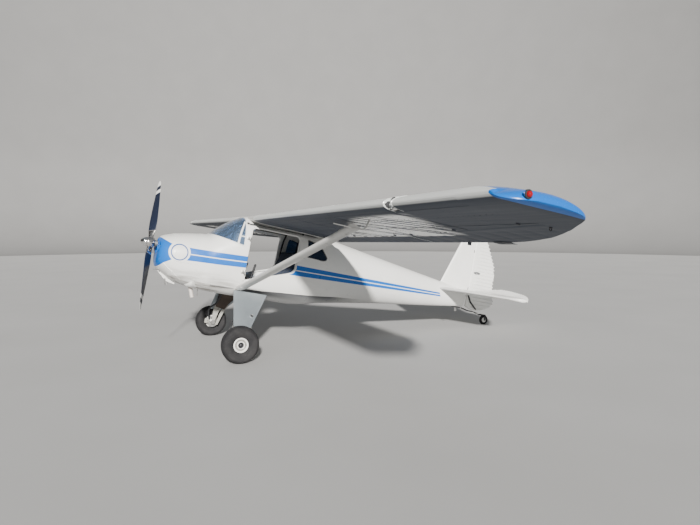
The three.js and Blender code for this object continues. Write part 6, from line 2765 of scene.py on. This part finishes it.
@dataclass
class NoseDetails:
    """Exhaust, chin scoop, drains and what shows of the engine."""

    exhaust_y: float = -0.150
    exhaust_radius: float = 0.0265
    exhaust_run: tuple[Point, ...] = ((-0.700, 0.8795), (-0.700, 0.810), (-0.640, 0.705), (-0.600, 0.640),
                                      (-0.580, 0.550), (-0.531, 0.4135))

    def make_exhaust(self) -> None:
        """Curved pipe with an open end, and the pointed shroud that it leaves through."""
        path = [Vector((x, self.exhaust_y, z)) for x, z in smooth_path(self.exhaust_run, 40)]
        pipe = Shape().tube(path, self.exhaust_radius, 32)
        end = (path[-1] - path[-2]).normalized()
        bore = Shape().tube([path[-1] - end * 0.09, path[-1] + end * 0.02], self.exhaust_radius - 0.0022, 32)
        dress("exhaust_pipe_bent", carve(pipe, [bore]), Finish.EXHAUST,
              replaces=["exhaust_pipe"])
        hull = Fuselage()
        shroud = Shape()
        rings = []
        for t in steps(0, 1, 14):
            z = lerp(0.640, 0.566, t)
            front, back = lerp(-0.602, -0.668, t ** 1.2), lerp(-0.596, -0.515, t ** 1.2)
            proud = 0.030 * math.sin(math.pi * min(1.0, 0.08 + t * 0.6))
            ring = []
            for a in steps(0, 1, 11):
                x = lerp(front, back, a)
                base = Vector((x, -hull.side_y(x, z), z))
                out = proud * math.sin(math.pi * a) ** 0.7 - 0.001
                ring.append(base + hull.normal(x, z, Side.LEFT) * out)
            rings.append(doubled(ring, (0, 0.006, 0.006)))
        shroud.loft(rings)
        dress("exhaust_shroud", shroud, Finish.WHITE_PAINT, crease=50)
        creases = Shape()
        for side in Side:
            path = []
            for x, z in smooth_path([(-0.985, 0.806), (-0.950, 0.775), (-0.916, 0.746), (-0.880, 0.724),
                                     (-0.845, 0.700)], 14):
                path.append(Vector((x, side.value * (hull.side_y(x, z) - 0.004), z)))
            creases.tube(path, [0.003, *([0.0095] * 12), 0.003], 10)
            spot = Vector((-0.593, side.value * hull.side_y(-0.593, 0.791), 0.791))
            creases.stud(spot, hull.normal(-0.593, 0.791, side), 0.008, 0.003, 12)
        dress("cowl_creases", creases, Finish.WHITE_PAINT, crease=60)

    def make_scoop(self) -> None:
        """Chin air scoop: two rounded cheeks with an open mouth, and the screen in it."""
        hull = Fuselage()
        outline = [(-1.008, 0.712), (-1.004, 0.690), (-0.985, 0.664), (-0.905, 0.585), (-0.880, 0.566),
                   (-0.850, 0.556), (-0.770, 0.540), (-0.770, 0.620), (-0.860, 0.680), (-0.985, 0.740)]
        outer = Shape().loft([[(x, y, z) for x, z in rounded(outline, 0.012)] for y in (-0.075, 0.075)])
        bore = Shape().loft([[(x, y, z) for x, z in ((-1.10, 0.560), (-0.900, 0.590), (-0.858, 0.575),
                                                     (-0.858, 0.660), (-1.10, 0.720))]
                             for y in (-0.063, 0.063)])
        scoop = carve(outer, [hull.solid(-1.062, -0.6, -0.0003), bore])
        dress("scoop_cheeks", scoop, Finish.WHITE_PAINT, bevel=0.003,
              segments=3, replaces=["chin_scoop"])
        filter_box = Shape()
        for k in range(9):
            z = 0.600 + 0.009 * k
            filter_box.tube([(-0.868, -0.060, z), (-0.868, 0.060, z)], 0.0016, 6)
        dress("scoop_screen", filter_box, Finish.DARK_STEEL)

    def make_engine(self) -> None:
        """Finned cylinders, baffles and starter ring behind the bowl."""
        fins = Shape()
        for side in Side:
            for x in (-0.83, -0.72):
                for k in range(15):
                    y = side.value * (0.130 + 0.0145 * k)
                    place = Matrix.Translation((x, y, 0.960)) @ Matrix.Rotation(math.pi / 2, 4, "X")
                    fins.lathe([(0.0, -0.0016), (0.083, -0.0016), (0.0845, 0.0), (0.083, 0.0016),
                                (0.0, 0.0016)], 28, place)
        dress("cylinder_fins", fins, Finish.ENGINE_GREY)
        baffle = Shape()
        for side in Side:
            baffle.block((-0.930, side.value * 0.06 if side is Side.RIGHT else -0.34, 1.052),
                         (-0.665, 0.34 if side is Side.RIGHT else -0.06, 1.055))
        ring = Matrix.Translation((-0.978, 0, 1.023)) @ Matrix.Rotation(math.pi / 2, 4, "Y")
        baffle.lathe([(0.045, 0.0), (0.128, 0.0), (0.130, 0.002), (0.130, 0.010), (0.128, 0.012),
                      (0.045, 0.012)], 72, ring)
        dress("engine_baffles", baffle, Finish.BARE_STEEL)

    def make_drains(self) -> None:
        """Breather, fuel drain and the small tube by the bowl."""
        tubes = Shape()
        tubes.tube([(-0.905, -0.10, 0.60), (-0.900, -0.105, 0.545), (-0.882, -0.105, 0.512)],
                   0.006, 10)
        tubes.tube([(-0.870, -0.05, 0.59), (-0.862, -0.05, 0.525)], 0.008, 12)
        tubes.tube([(-0.475, -0.12, 0.53), (-0.470, -0.12, 0.470), (-0.462, -0.12, 0.440)],
                   0.005, 10)
        tubes.tube([(-1.00, -0.16, 0.715), (-1.045, -0.17, 0.700), (-1.075, -0.17, 0.700)],
                   0.009, 12)
        dress("drain_tubes", tubes, Finish.BARE_STEEL)

    def make(self) -> None:
        """Builds the details of the nose."""
        self.make_exhaust()
        self.make_scoop()
        self.make_engine()
        self.make_drains()


@dataclass
class Cabin:
    """Seats, panel, sticks, pedals, lining and tube frame inside the cabin."""

    floor_z: float = 0.622
    seat_z: float = 0.700
    stick_x: float = 0.150
    stick_y: float = 0.225
    channel: float = 0.006
    stitch: float = 0.007
    tuck: float = 0.03
    pressure: float = 4.0
    settle_frames: int = 20

    def inflate(self, shape: Shape, name: str, cap: float, voxel: float) -> Shape:
        """Swells a pad with cloth pressure, each point held to a small travel.

        Args:
            shape: The pad, slightly small.
            name: Name for the working mesh.
            cap: Farthest that a point may move, in metres.
            voxel: Remesh size in metres.

        Returns:
            The swollen pad.
        """
        pad = linked(name, shape.mesh(name))
        remesh = pad.modifiers.new("remesh", "REMESH")
        remesh.mode = "VOXEL"
        remesh.voxel_size = voxel
        pad.data = worked(pad)
        pad.modifiers.clear()
        rest = [v.co.copy() for v in pad.data.vertices]
        cloth = pad.modifiers.new("cloth", "CLOTH")
        cloth.settings.use_pressure = True
        cloth.settings.uniform_pressure_force = self.pressure
        cloth.settings.effector_weights.gravity = 0.0
        cloth.settings.quality = 4
        scene = bpy.context.scene
        for step in range(1, self.settle_frames + 1):
            scene.frame_set(step)
        moved = worked(pad)
        pad.modifiers.clear()
        for vert, start, end in zip(pad.data.vertices, rest, moved.vertices):
            travel = end.co - start
            vert.co = start + travel * min(1.0, cap / max(travel.length, 1e-9))
        scene.frame_set(1)
        made = Shape([v.co.copy() for v in pad.data.vertices],
                     [tuple(p.vertices) for p in pad.data.polygons])
        bpy.data.objects.remove(pad)
        return made

    def seam_pull(self, y: float, seams: Sequence[float]) -> float:
        """How far the nearest seam pulls the cloth in at y, from 0 to 1.

        Args:
            y: Place across the seat.
            seams: Places of the seams.

        Returns:
            1 at a seam, less in the tuck beside it, 0 away from it.
        """
        tight = max(math.exp(-((y - seam) / self.stitch) ** 2) for seam in seams)
        wide = max(math.exp(-((y - seam) / self.tuck) ** 2) for seam in seams)
        return max(tight, 0.5 * wide)

    def channelled(self, shape: Shape, seams: Sequence[float], middle: float, depth: float) -> Shape:
        """Presses sewn channels into a pad across its width.

        Args:
            shape: The pad.
            seams: Places of the seams across the seat.
            middle: Height below which nothing moves.
            depth: Depth of a channel.

        Returns:
            The sewn pad.
        """
        made = []
        for v in shape.verts:
            sunk = depth * self.seam_pull(v.y, seams) if v.z > middle else 0.0
            made.append(Vector((v.x, v.y, v.z - sunk)))
        return Shape(made, shape.faces)

    def make_seats(self) -> None:
        """Bench cushion and back with sewn channels."""
        base = [(0.312, 0.704), (0.340, 0.790), (0.640, 0.762), (0.697, 0.762), (0.697, 0.704)]
        pad = Shape().loft([[(x, y, z) for x, z in rounded(base, 0.03)] for y in (-0.400, 0.400)])
        pad = self.inflate(pad, "cushion_work", 0.011, 0.008)
        seams = [-0.27, -0.135, 0.0, 0.135, 0.27]
        pad = self.channelled(pad, seams, 0.74, self.channel)
        cushion = dress("seat_cushion_pad", pad, Finish.SEAT_CLOTH,
                        replaces=["seat_cushion"], crease=80)
        back = [(0.590, 0.800), (0.704, 0.778), (0.852, 1.228), (0.822, 1.250), (0.742, 1.234)]
        pad = Shape().loft([[(x, y, z) for x, z in rounded(back, 0.02)] for y in (-0.418, 0.418)])
        pad = self.inflate(pad, "back_work", 0.010, 0.008)
        rest = dress("seat_back_pad", self.pressed_back(pad, seams), Finish.SEAT_CLOTH,
                     replaces=["seat_back"], crease=80)

    def pressed_back(self, shape: Shape, seams: Sequence[float]) -> Shape:
        """Presses channels into the front face of the seat back.

        Args:
            shape: The pad.
            seams: Places of the seams across the seat.

        Returns:
            The sewn pad.
        """
        lean = Vector((-0.945, 0.0, 0.327))
        made = []
        for v in shape.verts:
            plane = (v - Vector((0.725, 0, 1.0))).dot(lean)
            made.append(v - lean * self.channel * self.seam_pull(v.y, seams) if plane > 0 else v.copy())
        return Shape(made, shape.faces)

    def make_panel(self) -> None:
        """Instrument panel with dials, knobs, and a rolled coaming."""
        hull = Fuselage()
        inset = hull.skin + 0.001
        slab = carve(hull.solid(-0.130, -0.112, inset),
                     [Shape().block((-0.2, -0.6, 0.930), (0, 0.6, 1.200))], keep=True)
        dress("panel_board", slab, Finish.PANEL, replaces=["instrument_panel"],
              bevel=0.0015)
        rims, faces, hands = Shape(), Shape(), Shape()
        spots = [(-0.33, 1.13, 0.040), (-0.235, 1.13, 0.040), (-0.14, 1.13, 0.040), (-0.285, 1.035, 0.040),
                 (-0.19, 1.035, 0.040), (0.14, 1.12, 0.030), (0.215, 1.12, 0.030), (0.29, 1.12, 0.030),
                 (0.18, 1.04, 0.030), (0.255, 1.04, 0.030), (0.0, 1.11, 0.034)]
        for y, z, radius in spots:
            place = Matrix.Translation((-0.1118, y, z)) @ Matrix.Rotation(math.pi / 2, 4, "Y")
            rims.lathe([(radius - 0.003, 0.0), (radius + 0.003, 0.0), (radius + 0.0035, 0.003),
                        (radius, 0.0065), (radius - 0.003, 0.005)], 36, place)
            faces.rod(radius - 0.003, 0.0005, 0.0016, 36, place)
            for k in range(12):
                a = 2 * math.pi * k / 12
                mark = Matrix.Translation((0, 0, 0.0018)) @ Matrix.Rotation(a, 4, "Z")
                hands.block((radius * 0.72, -0.0009, 0.0), (radius * 0.88, 0.0009, 0.0006), place @ mark)
            swing = 0.7 + 9.0 * abs(y) + z
            hands.block((-0.004, -0.0012, 0.0022), (radius * 0.68, 0.0012, 0.003),
                        place @ Matrix.Rotation(swing, 4, "Z"))
        for y in (-0.06, -0.03, 0.0, 0.03, 0.06):
            place = Matrix.Translation((-0.1118, y, 0.965)) @ Matrix.Rotation(math.pi / 2, 4, "Y")
            rims.lathe([(0.0, 0.0), (0.004, 0.0), (0.004, 0.022), (0.011, 0.024), (0.012, 0.032),
                        (0.009, 0.036), (0.0, 0.036)], 20, place)
        dress("dial_rims", rims, Finish.DARK_STEEL)
        dress("dial_faces", faces, Finish.PANEL)
        dress("dial_hands", hands, Finish.WHITE_PAINT)
        coaming = Shape()
        rings = []
        for x, drop in ((-0.36, 0.030), (-0.25, 0.010), (-0.15, 0.004), (-0.095, 0.012), (-0.085, 0.024)):
            y_reach = hull.side_y(x, 1.19) - hull.skin - 0.004
            top = [Vector((x, y, 1.222 - drop - 0.10 * (abs(y) / y_reach) ** 4))
                   for y in steps(-y_reach, y_reach, 21)]
            rings.append(doubled(top, (0, 0, -0.008)))
        coaming.loft(rings)
        dress("panel_coaming", coaming, Finish.LINING)

    def make_controls(self) -> None:
        """Control sticks on their cross shaft, and four rudder pedals."""
        sticks = Shape()
        for y in (-self.stick_y, self.stick_y):
            path = [Vector((self.stick_x, y, self.floor_z + 0.016)), Vector((0.158, y, 0.70)),
                    Vector((0.176, y, 0.80)), Vector((0.189, y, 0.875))]
            sticks.tube(path, 0.0098, 16)
            sticks.tube([(0.172, y, 0.79), (0.205, y, 0.775), (0.245, y, 0.742)], 0.009, 12)
        sticks.tube([(self.stick_x, -self.stick_y - 0.022, self.floor_z + 0.0165),
                     (self.stick_x, self.stick_y + 0.022, self.floor_z + 0.0165)], 0.0155, 20)
        dress("stick_tubes", sticks, Finish.PANEL,
              replaces=["control_sticks"])
        grips = Shape()
        for y in (-self.stick_y, self.stick_y):
            grips.tube([(0.1882, y, 0.870), (0.190, y, 0.880), (0.197, y, 0.925),
                        (0.204, y, 0.970), (0.206, y, 0.985)],
                       [0.012, 0.0158, 0.0148, 0.016, 0.011], 24)
        dress("stick_grips", grips, Finish.PANEL)
        pedals = Shape()
        for y in (-0.30, -0.16, 0.16, 0.30):
            pedals.tube([(-0.30, y, self.floor_z + 0.004), (-0.315, y, 0.72),
                         (-0.325, y, 0.775)], 0.008, 12)
            pedals.tube([(-0.325, y - 0.045, 0.775), (-0.325, y + 0.045, 0.775)], 0.011, 14)
        dress("rudder_pedals", pedals, Finish.BARE_STEEL)

    @staticmethod
    def wall_y(hull: Fuselage, x: float, z: float) -> float:
        """Where a tube runs clear inside the cabin's wall."""
        return hull.side_y(x, z, hull.skin + 0.016)

    def make_lining(self) -> None:
        """Floor boards, rear bulkhead, roof lining and the cabin's steel tubes."""
        hull = Fuselage()
        floor = carve(hull.solid(-0.420, 0.940, hull.skin + 0.001),
                      [Shape().block((-0.42, -0.6, self.floor_z - 0.014), (0.94, 0.6, self.floor_z))],
                      keep=True)
        floor.block((0.340, -0.310, self.floor_z - 0.001), (0.660, 0.310, self.seat_z - 0.0003))
        for y in steps(-0.40, 0.40, 9):
            floor.tube([(-0.38, y, self.floor_z), (0.32, y, self.floor_z)], 0.003, 6)
        dress("floor_boards", floor, Finish.LINING, replaces=["cabin_floor"],
              bevel=0.002)
        bulkhead = hull.solid(0.952, 0.966, hull.skin + 0.002)
        dress("rear_bulkhead", bulkhead, Finish.LINING)
        tubes = Shape()
        for side in Side:
            for (x0, z0), (x1, z1) in (((-0.44, 1.13), (-0.080, 1.47)), ((-0.036, 0.66), (-0.036, 1.49)),
                                       ((0.735, 0.66), (0.735, 1.49)), ((-0.036, 1.490), (0.735, 1.490)),
                                       ((-0.48, 0.68), (0.90, 0.70))):
                path = [(lerp(x0, x1, t), lerp(z0, z1, t)) for t in steps(0, 1, 9)]
                tubes.tube([(x, side.value * self.wall_y(hull, x, z), z) for x, z in path], 0.012, 12)
        for x in (-0.036, 0.735):
            tubes.tube([(x, -0.42, 1.500), (x, 0.42, 1.500)], 0.012, 12)
        dress("cabin_tubes", tubes, Finish.DARK_STEEL)
        roof = Shape()
        rings = []
        for x in steps(-0.02, 0.94, 12):
            sag = 0.006 * math.sin(math.pi * ((x + 0.02) / 0.24 % 1.0))
            top = [Vector((x, y, 1.515 + sag - 0.02 * (abs(y) / 0.44) ** 3)) for y in steps(-0.44, 0.44, 13)]
            rings.append(doubled(top, (0, 0, -0.004)))
        roof.loft(rings)
        dress("roof_lining", roof, Finish.LINING)

    def make(self) -> None:
        """Builds the cabin's inside."""
        self.make_seats()
        self.make_panel()
        self.make_controls()
        self.make_lining()


def dress_plain_nodes() -> None:
    """Gives the CAD nodes that keep their own shape their finishes."""
    for node, finish in (("engine_block", Finish.ENGINE_GREY), ("firewall", Finish.BARE_STEEL)):
        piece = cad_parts[node]
        piece.data.materials.clear()
        piece.data.materials.append(finish.material)


@dataclass
class Studio:
    """Camera at the photograph's place, pale floor and backdrop, one sun and a soft sky."""

    eye: tuple[float, float, float] = (-3.2379, -7.3533, 1.6027)
    turn: tuple[float, float, float] = (86.66, 0.03, -24.67)
    lens: float = 27.49
    sun_from: tuple[float, float, float] = (-1.02, -3.12, 1.35)
    sun_strength: float = 9.0
    sky_strength: float = 0.24
    floor_radius: float = 90.0
    sweep_radius: float = 44.0
    sweep_curve: float = 9.0
    sweep_height: float = 46.0

    def make_camera(self) -> None:
        """The camera, with the sensor across the 700 pixel side."""
        data = bpy.data.cameras.new("view")
        data.lens = self.lens
        data.sensor_width = 36.0
        data.clip_end = 400.0
        camera = linked("view", data)
        camera.location = self.eye
        camera.rotation_euler = [math.radians(a) for a in self.turn]
        bpy.context.scene.camera = camera

    def make_floor(self) -> None:
        """A wide pale floor."""
        ring = [Vector((self.floor_radius * math.cos(a), self.floor_radius * math.sin(a), 0))
                for a in turns(96)]
        data = bpy.data.meshes.new("floor")
        data.from_pydata([p[:] for p in ring], [], [tuple(range(len(ring)))])
        floor = linked("floor", data)
        data.materials.append(StageFloor("studio_floor", 0.40, 0.43).make())

    def make_backdrop(self) -> None:
        """A pale sweep that rises from the floor behind the aircraft."""
        foot, curve = self.sweep_radius - self.sweep_curve, self.sweep_curve
        profile = [(foot + curve * math.sin(a), 0.004 + curve * (1 - math.cos(a)))
                   for a in steps(0, math.pi / 2, 17)]
        profile.append((self.sweep_radius, self.sweep_height))
        angles = steps(math.radians(-25), math.radians(205), 93)
        verts = [(r * math.cos(a), r * math.sin(a), z) for a in angles for r, z in profile]
        row = len(profile)
        faces = [(i * row + j, (i + 1) * row + j, (i + 1) * row + j + 1, i * row + j + 1)
                 for i in range(len(angles) - 1) for j in range(row - 1)]
        data = bpy.data.meshes.new("backdrop")
        data.from_pydata(verts, [], faces)
        data.shade_smooth()
        sweep = linked("backdrop", data)
        data.materials.append(StageFloor("studio_sweep", 0.20, 0.21).make())

    def make_light(self) -> None:
        """A soft sun from the photograph's side and a pale sky."""
        lamp = bpy.data.lights.new("key", "SUN")
        lamp.energy = self.sun_strength
        lamp.angle = math.radians(3.0)
        lamp.color = (1.0, 0.97, 0.92)
        key = linked("key", lamp)
        key.rotation_euler = Vector(self.sun_from).to_track_quat("Z", "Y").to_euler()
        world = bpy.data.worlds.new("studio")
        world.use_nodes = True
        sky = world.node_tree.nodes["Background"]
        sky.inputs["Color"].default_value = (0.80, 0.87, 0.95, 1)
        sky.inputs["Strength"].default_value = self.sky_strength
        bpy.context.scene.world = world

    def make(self) -> None:
        """Sets the stage."""
        self.make_camera()
        self.make_floor()
        self.make_backdrop()
        self.make_light()


def main() -> None:
    """Builds the stage and every piece of the aircraft."""
    logging.basicConfig(level=logging.INFO, format="%(message)s")
    Studio().make()
    Fuselage().make()
    Wing().make()
    Struts().make()
    MainGear().make()
    Propeller().make()
    Tail().make()
    TailWheel().make()
    NoseDetails().make()
    Cabin().make()
    dress_plain_nodes()


if __name__ == "__main__":
    main()
